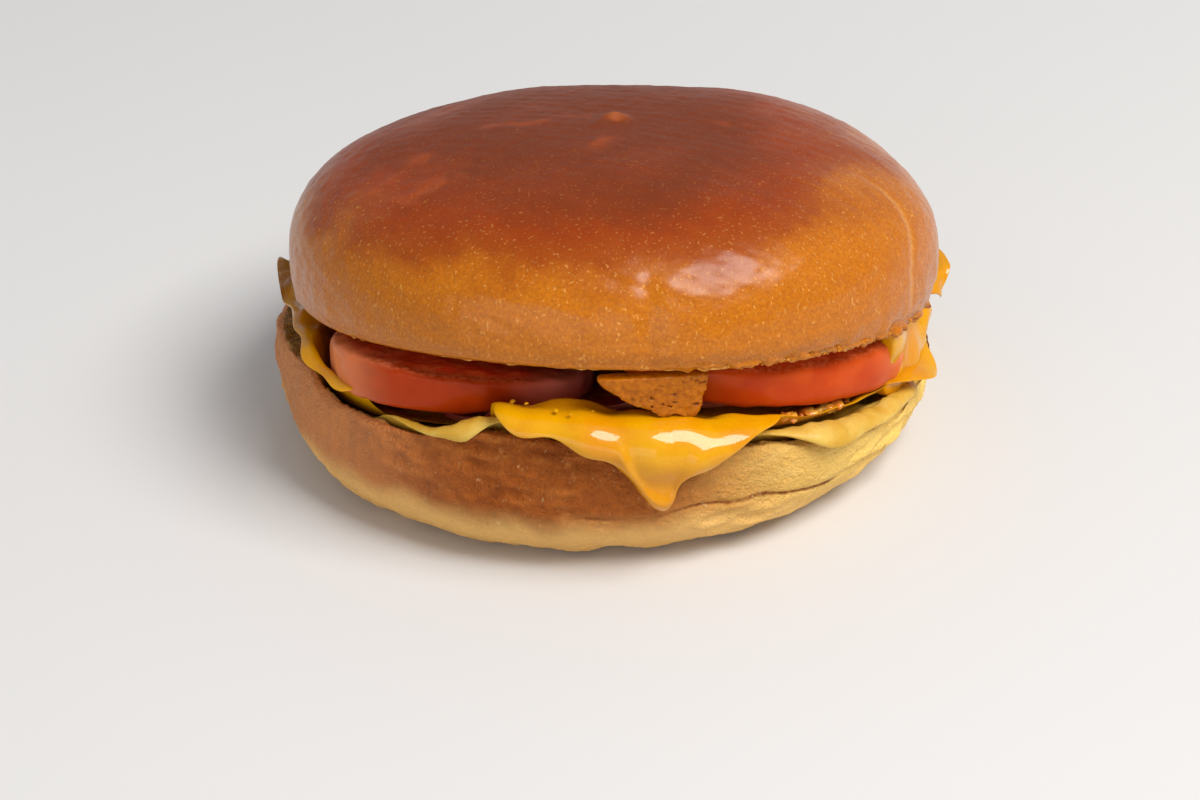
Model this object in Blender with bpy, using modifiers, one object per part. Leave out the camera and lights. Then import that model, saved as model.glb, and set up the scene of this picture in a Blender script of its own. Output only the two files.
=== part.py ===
"""A breakfast sandwich at rest: a brioche bun cut in two round a sheet of egg, two rashers of
bacon, a melted slice of cheese, two slices of tomato and a torn tongue of cheese at the front.

Metres, +Z up. The origin is on the surface that the sandwich rests on, under the middle of the
lower bun, here called the heel. -Y is the side that faces forward, and +X is its right.

Each layer is laid on the one below it. The heel's cut face is one height function, and every
filling is that function plus the thicknesses under it, so the pile follows the squashed bread.
"""

import math

import bmesh
import bpy
import numpy as np

MM = 0.001
GAP = 0.35 * MM  # clear space kept between neighbouring pieces
SHEET_GAP = 0.7 * MM  # the same under the egg and the cheese, which bend sharply near the rim

# The heel: its widest ring, the ring of its flat base, and the rim of its cut face.
HEEL_RADIUS = 57.3 * MM
HEEL_DEPTH_SHARE = 0.98  # front to back against left to right
HEEL_WIDEST_HEIGHT = 12.5 * MM
HEEL_BASE_RADIUS = 44.5 * MM
HEEL_RIM_ROUND = 1.6 * MM
HEEL_WHOLE_HALF = 33.0 * MM  # half height of the bun that the heel was cut from
HEEL_SIDE_POWER = 2.4
HEEL_CREASE_HEIGHT = 4.6 * MM
HEEL_CREASE_DEPTH = 0.55 * MM

# The cut face is pressed out of level: its middle, its slopes and its twist, at the full radius.
FACE_MIDDLE = 17.4 * MM
FACE_RIGHT = -3.6 * MM
FACE_AWAY = -5.8 * MM
FACE_SADDLE = -1.5 * MM
FACE_TWIST = 1.6 * MM

DENT_FADES = 2.3  # a dent in the cut face fades out at the tomato's outline scaled by this

# Thicknesses: the sheets are squeezed thin under the tomato and are thicker out at the rim.
EGG_THICK = 1.3 * MM
EGG_RIM_THICK = 0.6 * MM  # what the rim adds
EGG_FOLD_THICK = 2.4 * MM  # what the fold at the right adds
CHEESE_THICK = 2.0 * MM
CHEESE_SQUEEZE = 0.8 * MM  # what the tomato takes away
FRONT_RASHER_THICK = 1.6 * MM
BACK_RASHER_THICK = 1.6 * MM
TOMATO_THICK = 7.8 * MM

# How far each sheet reaches past the start of the heel's rim, in mm, at each bearing in degrees.
# The cheese hangs where the second table says 1, and sticks out and up where it says 0.
EGG_REACH = ((0, -5.0), (40, -6.0), (90, -3.0), (140, -6.0), (185, -8.0), (205, -4.0),
             (216, -2.5), (228, 1.6), (242, 3.0), (252, 0.5), (262, -3.0), (289, -3.0),
             (300, 2.4), (330, 3.2), (342, -2.0))
CHEESE_REACH = ((9, 7.6), (17, 7.0), (28, -4.0), (55, -9.0), (95, -1.0), (140, -9.0),
                (168, -1.5), (176, 3.2), (184, 0.5), (196, -2.5), (209, -7.5), (236, -7.0),
                (248, -2.5), (256, 1.0), (264, 4.0), (271, 7.4), (275, 10.5), (279, 16.0),
                (283, 10.5), (287, 7.6), (293, 5.0), (299, 1.0), (306, -3.5), (320, -4.5),
                (328, -1.5), (334, 2.6), (340, 2.4), (347, 0.0), (356, -1.0))
CHEESE_HANG = ((8, 0.1), (20, 0.1), (40, 1.0), (140, 1.0), (172, 0.0), (182, 0.2), (200, 1.0),
               (330, 1.0), (350, 1.0), (359, 0.6))
CHEESE_RISE = ((10, 1.0), (60, 1.0), (120, 2.2), (186, 2.2), (220, 1.0))  # slope of such a corner
CHEESE_DRIP_BEARING = math.radians(279)

# Both rashers lie on the cheese. The front one curves with the rim under the tomato, and the back
# one crosses the middle from left to right.
FRONT_RASHER_BEARINGS = (232, 314)
FRONT_RASHER_INNER = 25 * MM
FRONT_RASHER_OUTER = ((180, 42), (229, 42), (240, 48.0), (250, 50.5), (260, 46), (285, 45),
                      (300, 46), (309, 47), (340, 46))
BACK_RASHER_LINE = ((-46, -4), (-26, 5), (0, 10), (20, 13), (32, 14))
BACK_RASHER_WIDTH = 23 * MM

# Each tomato slice: its middle, half length, half width and the turn of its length from +X, the
# slopes of its underside to the right and away, how much it thickens to the right, and how far it
# has pressed the bread down, inside and at the rim.
TOMATO_SLICES = {
    "tomato_left": dict(middle=(-24.6 * MM, -30.6 * MM, 23.7 * MM), half_length=21.6 * MM,
                        half_width=21.0 * MM, turn=0.0, right=0.10, away=-0.18, wedge=0.0,
                        press=6.9 * MM, rim_press=4.8 * MM),
    "tomato_right": dict(middle=(27.1 * MM, -23.2 * MM, 20.8 * MM), half_length=26.8 * MM,
                         half_width=19.0 * MM, turn=math.radians(34), right=-0.165, away=-0.15,
                         wedge=0.06, press=4.0 * MM, rim_press=3.2 * MM),
}

# The crown: a domed half bun, tipped back by the tomatoes under its front.
CROWN_MIDDLE = (2.3 * MM, -2.2 * MM, 28.6 * MM)
CROWN_RADIUS = 55.9 * MM
CROWN_DEPTH_SHARE = 0.97
CROWN_CUT_RADIUS = 55.0 * MM
CROWN_WIDEST_HEIGHT = 4.0 * MM
CROWN_DOME_HEIGHT = 23.0 * MM
CROWN_DOME_POWER = 2.55
CROWN_CUT_ROUND = 1.2 * MM
CROWN_SKIRT_DROP = 3.0 * MM  # how much deeper the side below the widest ring is at left and right
CROWN_MOST_SAG = 3.5 * MM
CROWN_MOST_DENT = 6.0 * MM
CROWN_TIP_BACK = math.radians(10.2)
CROWN_TIP_RIGHT = math.radians(1.9)

# The tongue of cheese that hangs from the crown's lip, between the two slices of tomato: where its
# top and its torn lower edge begin and end from left to right, and how low each end hangs.
TONGUE_TOP_ENDS = (-2.6 * MM, 16.6 * MM)
TONGUE_LOW_ENDS = (6.0 * MM, 15.2 * MM)
TONGUE_LOW_HEIGHTS = (30.6 * MM, 28.8 * MM)
TONGUE_RADIUS = 51.6 * MM
TONGUE_THICK = 2.4 * MM

TWO_PI = 2 * math.pi


# The height of every layer.

def smooth_step(value, start, end):
    """0 before start, 1 after end, and an even S between them."""
    share = np.clip((value - start) / (end - start), 0, 1)
    return share * share * (3 - 2 * share)


def around(bearing, table):
    """A smooth closed curve through (bearing in degrees, value) pairs, read at bearings in radians.

    Its slope at a pair is the harmonic mean of the two chords there, or 0 at a peak or a hollow, so
    that it never passes beyond the pairs.
    """
    knots = np.array([pair[0] for pair in table], float)
    values = np.array([pair[1] for pair in table], float)
    knots = np.concatenate([knots[-2:] - 360, knots, knots[:2] + 360])
    values = np.concatenate([values[-2:], values, values[:2]])
    chords = np.diff(values) / np.diff(knots)
    before, after = chords[:-1], chords[1:]
    level = before * after <= 0
    mean = 2 * before * after / np.where(level, 1.0, before + after)
    slopes = np.concatenate([[0.0], np.where(level, 0.0, mean), [0.0]])
    degrees = np.degrees(bearing) % 360
    left = np.clip(np.searchsorted(knots, degrees, "right") - 1, 0, len(knots) - 2)
    step = knots[left + 1] - knots[left]
    f = (degrees - knots[left]) / step
    ends = (1 + 2 * f) * (1 - f) ** 2 * values[left] + f * f * (3 - 2 * f) * values[left + 1]
    bends = f * (1 - f) ** 2 * slopes[left] - f * f * (1 - f) * slopes[left + 1]
    return ends + bends * step


def slice_cover(slice_, x, y, fades=1.35):
    """1 over a slice of tomato, falling to 0 at its outline scaled up by fades."""
    dx = x - slice_["middle"][0]
    dy = y - slice_["middle"][1]
    a = dx * math.cos(slice_["turn"]) + dy * math.sin(slice_["turn"])
    b = dy * math.cos(slice_["turn"]) - dx * math.sin(slice_["turn"])
    share = np.hypot(a / slice_["half_length"], b / slice_["half_width"])
    return 1 - smooth_step(share, 1.0, fades)


def tomato_cover(x, y):
    return np.maximum.reduce([slice_cover(slice_, x, y) for slice_ in TOMATO_SLICES.values()])


def face_height(x, y):
    """The heel's cut face: a bent plane that stands as a lip at the rim, pressed in by the tomato."""
    u = x / HEEL_RADIUS
    v = y / HEEL_RADIUS
    level = (FACE_MIDDLE + FACE_RIGHT * u + FACE_AWAY * v
             + FACE_SADDLE * (u * u - v * v) + FACE_TWIST * 2 * u * v)
    lip = smooth_step(np.hypot(x, y), 42 * MM, 55.5 * MM)
    dents = [slice_cover(slice_, x, y, DENT_FADES) * slice_["press"] * (1 - lip)
             + slice_cover(slice_, x, y) * slice_["rim_press"] * lip
             for slice_ in TOMATO_SLICES.values()]
    return level - np.maximum.reduce(dents)


def egg_thickness(x, y):
    """One sheet, a little thicker at the rim, and a fold at the right outside the tomato."""
    rim = smooth_step(np.hypot(x, y), 48 * MM, 54 * MM)
    fold = smooth_step(x * 0.9 - y * 0.3, 18 * MM, 42 * MM)
    fold = fold * smooth_step(np.hypot(x, y), 54.5 * MM, 57 * MM)
    return EGG_THICK + EGG_RIM_THICK * rim + EGG_FOLD_THICK * fold


def cheese_thickness(x, y):
    return CHEESE_THICK - CHEESE_SQUEEZE * tomato_cover(x, y)


def cheese_foot(x, y):
    """Height of the cheese's underside above the cut face. It lifts where it bends over the rim."""
    lift = 0.6 * MM * smooth_step(np.hypot(x, y), 46 * MM, 53 * MM)
    return 2 * SHEET_GAP + egg_thickness(x, y) + lift


def cheese_top(x, y):
    return face_height(x, y) + cheese_foot(x, y) + cheese_thickness(x, y)


def slice_underside(slice_, x, y):
    across = slice_["right"] * (x - slice_["middle"][0])
    return slice_["middle"][2] + across + slice_["away"] * (y - slice_["middle"][1])


def slice_thickness(slice_, x):
    return TOMATO_THICK + slice_["wedge"] * (x - slice_["middle"][0])


# The heel and the sheets that lie on it.

def heel_radius(bearing):
    """The widest ring, a little out of round as a baked bun is."""
    return HEEL_RADIUS * (1 + 0.004 * np.cos(2 * bearing + 0.6) + 0.004 * np.cos(3 * bearing + 2.0))


def on_heel(bearing, radius):
    return radius * np.cos(bearing), radius * HEEL_DEPTH_SHARE * np.sin(bearing)


def rim_height(bearing):
    return face_height(*on_heel(bearing, 55 * MM))


def side_radius(bearing, height):
    """The side above the widest ring, part of the outline of the whole bun."""
    share = np.clip(height - HEEL_WIDEST_HEIGHT, 0, None) / HEEL_WHOLE_HALF
    return heel_radius(bearing) * (1 - share**HEEL_SIDE_POWER) ** (1 / HEEL_SIDE_POWER)


def rim_radius(bearing):
    return side_radius(bearing, rim_height(bearing) - HEEL_RIM_ROUND)


def heel_outline(bearing, place):
    """Radius, height, and the outward and upward shares of the surface's direction.

    Place 0 to 1 crosses the cut face, 1 to 2 turns over the rim, 2 to 3 goes down the side to the
    widest ring, 3 to 4 rounds the foot and 4 to 5 crosses the flat base.
    """
    rim = rim_radius(bearing)
    top = rim_height(bearing)
    widest = heel_radius(bearing)
    face_radius = (rim - HEEL_RIM_ROUND) * np.clip(place, 0, 1)
    face_z = face_height(*on_heel(bearing, face_radius))
    turn = np.clip(place - 1, 0, 1) * math.pi / 2
    edge_z = face_height(*on_heel(bearing, rim - HEEL_RIM_ROUND))
    rim_r = rim - HEEL_RIM_ROUND * (1 - np.sin(turn))
    rim_z = edge_z - HEEL_RIM_ROUND * (1 - np.cos(turn)) + (top - edge_z) * np.sin(turn)
    down = np.clip(place - 2, 0, 1)
    side_z = (top - HEEL_RIM_ROUND) * (1 - down) + HEEL_WIDEST_HEIGHT * down
    side_r = side_radius(bearing, side_z)
    foot = np.clip(place - 3, 0, 1) * math.pi / 2
    foot_r = HEEL_BASE_RADIUS + (widest - HEEL_BASE_RADIUS) * np.cos(foot)
    foot_z = HEEL_WIDEST_HEIGHT * (1 - np.sin(foot))
    base_r = HEEL_BASE_RADIUS * (5 - np.clip(place, 4, 5))
    steps = [place <= 1, place <= 2, place <= 3, place <= 4]
    radius = np.select(steps, [face_radius, rim_r, side_r, foot_r], base_r)
    height = np.select(steps, [face_z, rim_z, side_z, foot_z], 0.0)
    out = np.select(steps, [0.0, np.sin(turn), 1.0, np.cos(foot)], 0.0)
    up = np.select(steps, [1.0, np.cos(turn), 0.0, -np.sin(foot)], -1.0)
    return radius, height, out, up


def place_of(bearing, length, lift):
    """The place on the heel's outline at a length from the middle, for a sheet that far above it."""
    face = rim_radius(bearing) - HEEL_RIM_ROUND
    bend = (HEEL_RIM_ROUND + lift) * math.pi / 2
    side = rim_height(bearing) - HEEL_RIM_ROUND - HEEL_WIDEST_HEIGHT
    foot = HEEL_WIDEST_HEIGHT * math.pi / 2
    ends = np.cumsum([face, bend * np.ones_like(face), side, foot * np.ones_like(face)], axis=0)
    steps = [length <= ends[0], length <= ends[1], length <= ends[2]]
    on_side = 2 + (length - ends[1]) / side
    return np.select(steps, [length / ends[0], 1 + (length - ends[0]) / bend, on_side],
                     3 + (length - ends[2]) / foot)


def heel_form(bearing, depth):
    """The heel: rings are closest together over the rim and round the foot."""
    place = np.interp(depth, (0, 0.36, 0.47, 0.60, 0.91, 1), (0, 1, 2, 3, 4, 5))
    radius, height, _, _ = heel_outline(bearing, place)
    forward = smooth_step(-np.sin(bearing), -0.3, 0.5)
    crease = np.exp(-(((height - HEEL_CREASE_HEIGHT) / (1.1 * MM)) ** 2)) * (place < 4)
    radius = radius - HEEL_CREASE_DEPTH * crease * forward
    x, y = on_heel(bearing, radius)
    return x, y, height


def sheet_edge(depth):
    """Share of the way from a sheet's middle to its edge, and its share of full thickness there."""
    share = 1 - np.abs(1 - 2 * depth)
    share = np.sin(share * math.pi / 2)
    return share, np.sqrt(np.clip(1 - share**14, 0, 1)) * np.where(depth < 0.5, 1, -1)


def egg_form(bearing, depth):
    """A sheet of egg that follows the cut face out to the rim."""
    share, side = sheet_edge(depth)
    reach = rim_radius(bearing) - HEEL_RIM_ROUND + around(bearing, EGG_REACH) * MM
    place = place_of(bearing, reach * share, EGG_THICK / 2)
    radius, height, out, up = heel_outline(bearing, place)
    x, y = on_heel(bearing, radius)
    thick = egg_thickness(x, y)
    away = SHEET_GAP + thick / 2 * (1 + side)
    x, y = on_heel(bearing, radius + away * out)
    return x, y, height + away * up


def cheese_form(bearing, depth):
    """The melted slice: flat on the egg, bent over the rim, and hanging down the heel's side."""
    bearing = bearing - 0.55 * np.sin(bearing - CHEESE_DRIP_BEARING)
    share, side = sheet_edge(depth)
    face = rim_radius(bearing) - HEEL_RIM_ROUND
    reach = face + around(bearing, CHEESE_REACH) * MM
    length = reach * share
    place = place_of(bearing, length, EGG_THICK)
    radius, height, out, up = heel_outline(bearing, place)
    x, y = on_heel(bearing, radius)
    foot = cheese_foot(x, y)
    thick = cheese_thickness(x, y)
    past = np.clip(length - face, 0, None)
    egg_past = np.clip(around(bearing, EGG_REACH), 0, None) * MM
    sag = smooth_step(past - egg_past, 1 * MM, 8 * MM)
    away = foot * (1 - sag) + (GAP + 0.4 * MM) * sag + thick / 2 * (1 + side)
    held_z = rim_height(bearing) + away + around(bearing, CHEESE_RISE) * past
    hang = np.where(past > 0, around(bearing, CHEESE_HANG), 1.0)
    radius = (radius + away * out) * hang + length * (1 - hang)
    height = (height + away * up) * hang + held_z * (1 - hang)
    x, y = on_heel(bearing, radius)
    return x, y, height


# The bacon, tomato and tongue.

def front_rasher_form(along, across):
    """A rasher that curves with the rim. Along and across run from 0 to 1."""
    first, last = np.radians(FRONT_RASHER_BEARINGS)
    bearing = last + (first - last) * along
    outer = around(bearing, FRONT_RASHER_OUTER) * MM + 0.5 * MM * np.sin(21 * along)
    radius = FRONT_RASHER_INNER + (outer - FRONT_RASHER_INNER) * across
    x, y = on_heel(bearing, radius)
    return x, y, cheese_top(x, y) + 4 * GAP


def back_rasher_form(along, across):
    """A rasher on the cheese, across the middle, lifted where it comes out at the left."""
    line = np.array(BACK_RASHER_LINE, float) * MM
    at = along * (len(line) - 1)
    x = np.interp(at, range(len(line)), line[:, 0])
    y = np.interp(at, range(len(line)), line[:, 1]) + BACK_RASHER_WIDTH * (across - 0.5)
    y = y + 1.2 * MM * np.sin(7 * along + 1) + 0.7 * MM * np.sin(17 * along)
    lift = 0.35 * MM * (1 - np.cos(5 * TWO_PI * along))
    return x, y, cheese_top(x, y) + 3 * GAP + lift


def tomato_form(slice_, bearing, depth):
    """A slice that sags on the cheese: a rounded rim of skin between two nearly flat faces."""
    angle = depth * math.pi
    power = 9
    size = (np.abs(np.sin(angle)) ** power + np.abs(np.cos(angle)) ** power) ** (-1 / power)
    reach = size * np.sin(angle)
    level = size * np.cos(angle)
    wobble = 1 + 0.012 * np.cos(3 * bearing + slice_["middle"][0] / MM)
    a = slice_["half_length"] * reach * np.cos(bearing) * wobble
    b = slice_["half_width"] * reach * np.sin(bearing) * wobble
    x = slice_["middle"][0] + a * math.cos(slice_["turn"]) - b * math.sin(slice_["turn"])
    y = slice_["middle"][1] + a * math.sin(slice_["turn"]) + b * math.cos(slice_["turn"])
    return x, y, slice_underside(slice_, x, y) + slice_thickness(slice_, x) / 2 * (1 + level)


def crown_to_world(x, y, z):
    """Tip the crown back about X and down to the right about Y, then set it on the filling."""
    cos_back, sin_back = math.cos(CROWN_TIP_BACK), math.sin(CROWN_TIP_BACK)
    y, z = y * cos_back + z * sin_back, z * cos_back - y * sin_back
    cos_right, sin_right = math.cos(CROWN_TIP_RIGHT), math.sin(CROWN_TIP_RIGHT)
    x, z = x * cos_right + z * sin_right, z * cos_right - x * sin_right
    return x + CROWN_MIDDLE[0], y + CROWN_MIDDLE[1], z + CROWN_MIDDLE[2]


def tongue_form(along, across):
    """A hanging sheet, narrower below, that starts under the crown's lip. Across runs downward."""
    across = 1 - across
    top_x = TONGUE_TOP_ENDS[0] + (TONGUE_TOP_ENDS[1] - TONGUE_TOP_ENDS[0]) * along
    low_x = TONGUE_LOW_ENDS[0] + (TONGUE_LOW_ENDS[1] - TONGUE_LOW_ENDS[0]) * along
    x = top_x + (low_x - top_x) * across
    y = -np.sqrt(TONGUE_RADIUS**2 - x**2) + 0.4 * MM * np.sin(9 * along) * across
    lip = (y - CROWN_MIDDLE[1]) * -math.tan(CROWN_TIP_BACK) - x * math.tan(CROWN_TIP_RIGHT)
    top_z = CROWN_MIDDLE[2] + lip - 2 * GAP
    low_z = TONGUE_LOW_HEIGHTS[0] + (TONGUE_LOW_HEIGHTS[1] - TONGUE_LOW_HEIGHTS[0]) * along
    low_z = low_z + 0.5 * MM * np.sin(13 * along) * np.sin(math.pi * along)
    return x, y, top_z + (low_z - top_z) * across


def rest_height(x, y):
    """What the crown's soft cut face sinks down to: the tops of the tomato, or else the bacon."""
    rest = cheese_top(x, y) + BACK_RASHER_THICK + 3 * MM
    for slice_ in TOMATO_SLICES.values():
        top = slice_underside(slice_, x, y) + slice_thickness(slice_, x) + 3 * GAP
        cover = slice_cover(slice_, x, y)
        rest = np.where(cover > 0, np.maximum(rest, rest + (top - rest) * np.sqrt(cover)), rest)
    return rest


def crown_form(bearing, depth):
    """The crown: a dome, a short turn in to the cut edge, and a cut face dented by the tomato."""
    place = np.interp(depth, (0, 0.62, 0.70, 0.78, 1), (0, 1, 2, 3, 4))
    angle = np.clip(place, 0, 1) * math.pi / 2
    power = CROWN_DOME_POWER
    size = (np.sin(angle) ** power + np.cos(angle) ** power) ** (-1 / power)
    wide = CROWN_RADIUS * (1 + 0.004 * np.cos(2 * bearing + 1.2) + 0.003 * np.cos(5 * bearing))
    dome_r = wide * size * np.sin(angle)
    dome_z = CROWN_WIDEST_HEIGHT + CROWN_DOME_HEIGHT * size * np.cos(angle)
    down = np.clip(place - 1, 0, 1)
    drop = CROWN_SKIRT_DROP * np.cos(bearing) ** 2
    side_r = wide + (CROWN_CUT_RADIUS - wide) * down**2
    side_z = CROWN_WIDEST_HEIGHT + (CROWN_CUT_ROUND - drop - CROWN_WIDEST_HEIGHT) * down
    turn = np.clip(place - 2, 0, 1) * math.pi / 2
    lip_r = CROWN_CUT_RADIUS - CROWN_CUT_ROUND * (1 - np.cos(turn))
    lip_z = CROWN_CUT_ROUND * (1 - np.sin(turn)) - drop
    face_r = (CROWN_CUT_RADIUS - CROWN_CUT_ROUND) * (4 - np.clip(place, 3, 4))
    steps = [place <= 1, place <= 2, place <= 3]
    radius = np.select(steps, [dome_r, side_r, lip_r], face_r)
    height = np.select(steps, [dome_z, side_z, lip_z], -drop * (face_r / CROWN_CUT_RADIUS) ** 2)
    x = radius * np.cos(bearing)
    y = radius * CROWN_DEPTH_SHARE * np.sin(bearing)
    x, y, z = crown_to_world(x, y, height)
    inside = (place > 3) * (1 - smooth_step(radius, 40 * MM, 51 * MM))
    return x, y, z + np.clip(rest_height(x, y) - z, -CROWN_MOST_SAG, CROWN_MOST_DENT) * inside


# Making the pieces.

def press_ball(name, segments, rings, form):
    """A ball pressed to a form that takes a bearing and a depth, 0 at the top pole and 1 below."""
    mesh = bpy.data.meshes.new(name)
    ball = bmesh.new()
    bmesh.ops.create_uvsphere(ball, u_segments=segments, v_segments=rings, radius=1.0)
    ball.to_mesh(mesh)
    ball.free()
    points = np.empty(len(mesh.vertices) * 3)
    mesh.vertices.foreach_get("co", points)
    x, y, z = points.reshape(-1, 3).T
    depth = np.arccos(np.clip(z, -1, 1)) / math.pi
    mesh.vertices.foreach_set("co", np.stack(form(np.arctan2(y, x), depth), axis=1).ravel())
    return mesh


def lay_strip(name, length_steps, width_steps, form):
    """A flat grid laid out by a form that takes the shares along and across, from 0 to 1."""
    mesh = bpy.data.meshes.new(name)
    strip = bmesh.new()
    bmesh.ops.create_grid(strip, x_segments=length_steps, y_segments=width_steps, size=0.5)
    strip.to_mesh(mesh)
    strip.free()
    points = np.empty(len(mesh.vertices) * 3)
    mesh.vertices.foreach_get("co", points)
    x, y, _ = points.reshape(-1, 3).T
    mesh.vertices.foreach_set("co", np.stack(form(x + 0.5, y + 0.5), axis=1).ravel())
    return mesh


def finish(name, mesh, colour, roughness):
    """Give the mesh its object, its own material and smooth shading."""
    piece = bpy.data.objects.new(name, mesh)
    material = bpy.data.materials.new(name + "_finish")
    material.use_nodes = True
    shader = material.node_tree.nodes["Principled BSDF"]
    shader.inputs["Base Color"].default_value = (*colour, 1.0)
    shader.inputs["Roughness"].default_value = roughness
    shader.inputs["Metallic"].default_value = 0.0
    mesh.materials.append(material)
    mesh.update()
    mesh.shade_smooth()
    sandwich.objects.link(piece)
    return piece


def thicken(piece, thickness):
    wall = piece.modifiers.new("thickness", "SOLIDIFY")
    wall.thickness = thickness
    wall.offset = 1.0
    return piece


for left_over in list(bpy.data.objects):
    bpy.data.objects.remove(left_over)
sandwich = bpy.data.collections.new("breakfast_sandwich")
bpy.context.scene.collection.children.link(sandwich)

finish("heel_bun", press_ball("heel_bun", 60, 28, heel_form), (0.50, 0.24, 0.08), 0.65)
finish("egg_sheet", press_ball("egg_sheet", 60, 20, egg_form), (0.80, 0.62, 0.16), 0.45)
finish("cheese_slice", press_ball("cheese_slice", 72, 24, cheese_form), (0.90, 0.42, 0.02), 0.25)
thicken(finish("bacon_front", lay_strip("bacon_front", 28, 6, front_rasher_form),
               (0.30, 0.05, 0.03), 0.40), FRONT_RASHER_THICK)
thicken(finish("bacon_back", lay_strip("bacon_back", 22, 4, back_rasher_form),
               (0.30, 0.05, 0.03), 0.40), BACK_RASHER_THICK)
thicken(finish("cheese_tongue", lay_strip("cheese_tongue", 10, 7, tongue_form),
               (0.75, 0.33, 0.03), 0.55), TONGUE_THICK)
for slice_name, slice_sizes in TOMATO_SLICES.items():
    finish(slice_name,
           press_ball(slice_name, 36, 8, lambda b, d, s=slice_sizes: tomato_form(s, b, d)),
           (0.55, 0.08, 0.03), 0.30)
finish("crown_bun", press_ball("crown_bun", 58, 24, crown_form), (0.42, 0.15, 0.04), 0.35)
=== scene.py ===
# %% [markdown]
# A breakfast sandwich: a shiny brioche crown, two slices of tomato, a tongue of torn cheese, two
# rashers of bacon, a melted slice of cheese, a sheet of egg and the heel of the bun. The packed
# model gives each layer its place. Every layer here is made again as a fine surface, because food
# is all small relief: pores, wrinkles, torn edges and wet beads.

# %% The frame and the tools
import math

import bpy
import numpy as np
from mathutils import Matrix


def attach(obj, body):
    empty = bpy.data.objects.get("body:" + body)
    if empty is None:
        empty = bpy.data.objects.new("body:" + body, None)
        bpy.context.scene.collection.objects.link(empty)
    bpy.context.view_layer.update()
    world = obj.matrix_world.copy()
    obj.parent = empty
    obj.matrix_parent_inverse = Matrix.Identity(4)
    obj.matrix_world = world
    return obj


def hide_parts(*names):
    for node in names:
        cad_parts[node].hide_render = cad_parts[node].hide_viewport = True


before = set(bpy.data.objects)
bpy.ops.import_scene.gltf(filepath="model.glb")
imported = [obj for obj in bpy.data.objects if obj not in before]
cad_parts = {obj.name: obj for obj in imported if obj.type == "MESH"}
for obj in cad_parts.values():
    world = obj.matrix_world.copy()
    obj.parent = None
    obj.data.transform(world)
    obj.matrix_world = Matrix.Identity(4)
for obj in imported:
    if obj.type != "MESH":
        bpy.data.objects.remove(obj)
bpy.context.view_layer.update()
MM = 0.001
TWO_PI = 2 * math.pi
print("nodes:", sorted(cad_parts))

# %% [markdown]
# A few small helpers shape everything. A smooth step turns one value gradually into another. A
# closed curve through a few (bearing, value) pairs describes any edge that runs round the bun. A
# sum of plane waves in random directions gives soft unevenness at any size, and it is the same
# each time because its directions come from a seed.


# %% Helpers for shapes
def smooth_step(value, start, end):
    """0 before start, 1 after end, and the curve 3s*s - 2s*s*s of the share s between them."""
    share = np.clip((value - start) / (end - start), 0, 1)
    return share * share * (3 - 2 * share)


def bump_at(value, middle, width):
    """A bell: e to the power of minus the square of the distance from the middle over the width."""
    return np.exp(-(((value - middle) / width) ** 2))


def around(bearing, table):
    """A closed cubic curve through (degrees, value) pairs, with the harmonic mean of the two
    neighbouring slopes at each pair and a level tangent at each peak and hollow."""
    knots = np.array([pair[0] for pair in table], float)
    values = np.array([pair[1] for pair in table], float)
    knots = np.concatenate([knots[-2:] - 360, knots, knots[:2] + 360])
    values = np.concatenate([values[-2:], values, values[:2]])
    chords = np.diff(values) / np.diff(knots)
    before, after = chords[:-1], chords[1:]
    level = before * after <= 0
    mean = 2 * before * after / np.where(level, 1.0, before + after)
    slopes = np.concatenate([[0.0], np.where(level, 0.0, mean), [0.0]])
    degrees = np.degrees(bearing) % 360
    left = np.clip(np.searchsorted(knots, degrees, "right") - 1, 0, len(knots) - 2)
    step = knots[left + 1] - knots[left]
    f = (degrees - knots[left]) / step
    ends = (1 + 2 * f) * (1 - f) ** 2 * values[left] + f * f * (3 - 2 * f) * values[left + 1]
    bends = f * (1 - f) ** 2 * slopes[left] - f * f * (1 - f) * slopes[left + 1]
    return ends + bends * step


def ripple(points, size, seed, waves=16):
    """Soft random relief, about 1 either way: the sum of sines of the distance along random
    directions, each with a wavelength near size and a random phase."""
    rng = np.random.default_rng(seed)
    total = np.zeros(points.shape[:-1])
    for _ in range(waves):
        direction = rng.normal(size=3)
        direction /= np.linalg.norm(direction)
        length = size * rng.uniform(0.65, 1.5)
        total += np.sin(points @ direction * TWO_PI / length + rng.uniform(0, TWO_PI))
    return total / math.sqrt(waves / 2)


def crumble(points, size, seed, octaves=3):
    """Ragged relief: ripples of half the size and half the height added on each other."""
    return sum(ripple(points, size / 2**k, seed + k) / 2**k for k in range(octaves))


def squarish(angle, power):
    """The distance from the middle to the curve |cos|^p + |sin|^p = 1 at an angle."""
    return (np.abs(np.cos(angle)) ** power + np.abs(np.sin(angle)) ** power) ** (-1 / power)


def joined(*axes):
    """One array of points from arrays of X, Y and Z."""
    return np.stack(np.broadcast_arrays(*axes), axis=-1)


print("helpers ready")

# %% [markdown]
# Each piece is a closed skin. A grid of points runs round the piece in one direction and from one
# pole to the other in the other direction, and the first and last rows close to a single point.
# One function turns such a grid into a mesh with its faces outwards, so every shape below is only
# a formula for the grid. Marks are numbers kept with the points, such as how well baked a spot is,
# which the material reads to colour it.


# %% From a grid to a mesh
def grid(columns, rows):
    """Turn runs from 0 to a full circle along the columns, and depth from 0 to 1 down the rows."""
    turn = np.linspace(0, TWO_PI, columns, endpoint=False)
    depth = np.linspace(0, 1, rows)
    return np.meshgrid(turn, depth)


def smooth_mesh(name, places, faces):
    """A new object in the scene with a smooth mesh."""
    mesh = bpy.data.meshes.new(name)
    mesh.from_pydata(places, [], faces)
    mesh.shade_smooth()
    piece = bpy.data.objects.new(name, mesh)
    bpy.context.scene.collection.objects.link(piece)
    return piece


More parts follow.
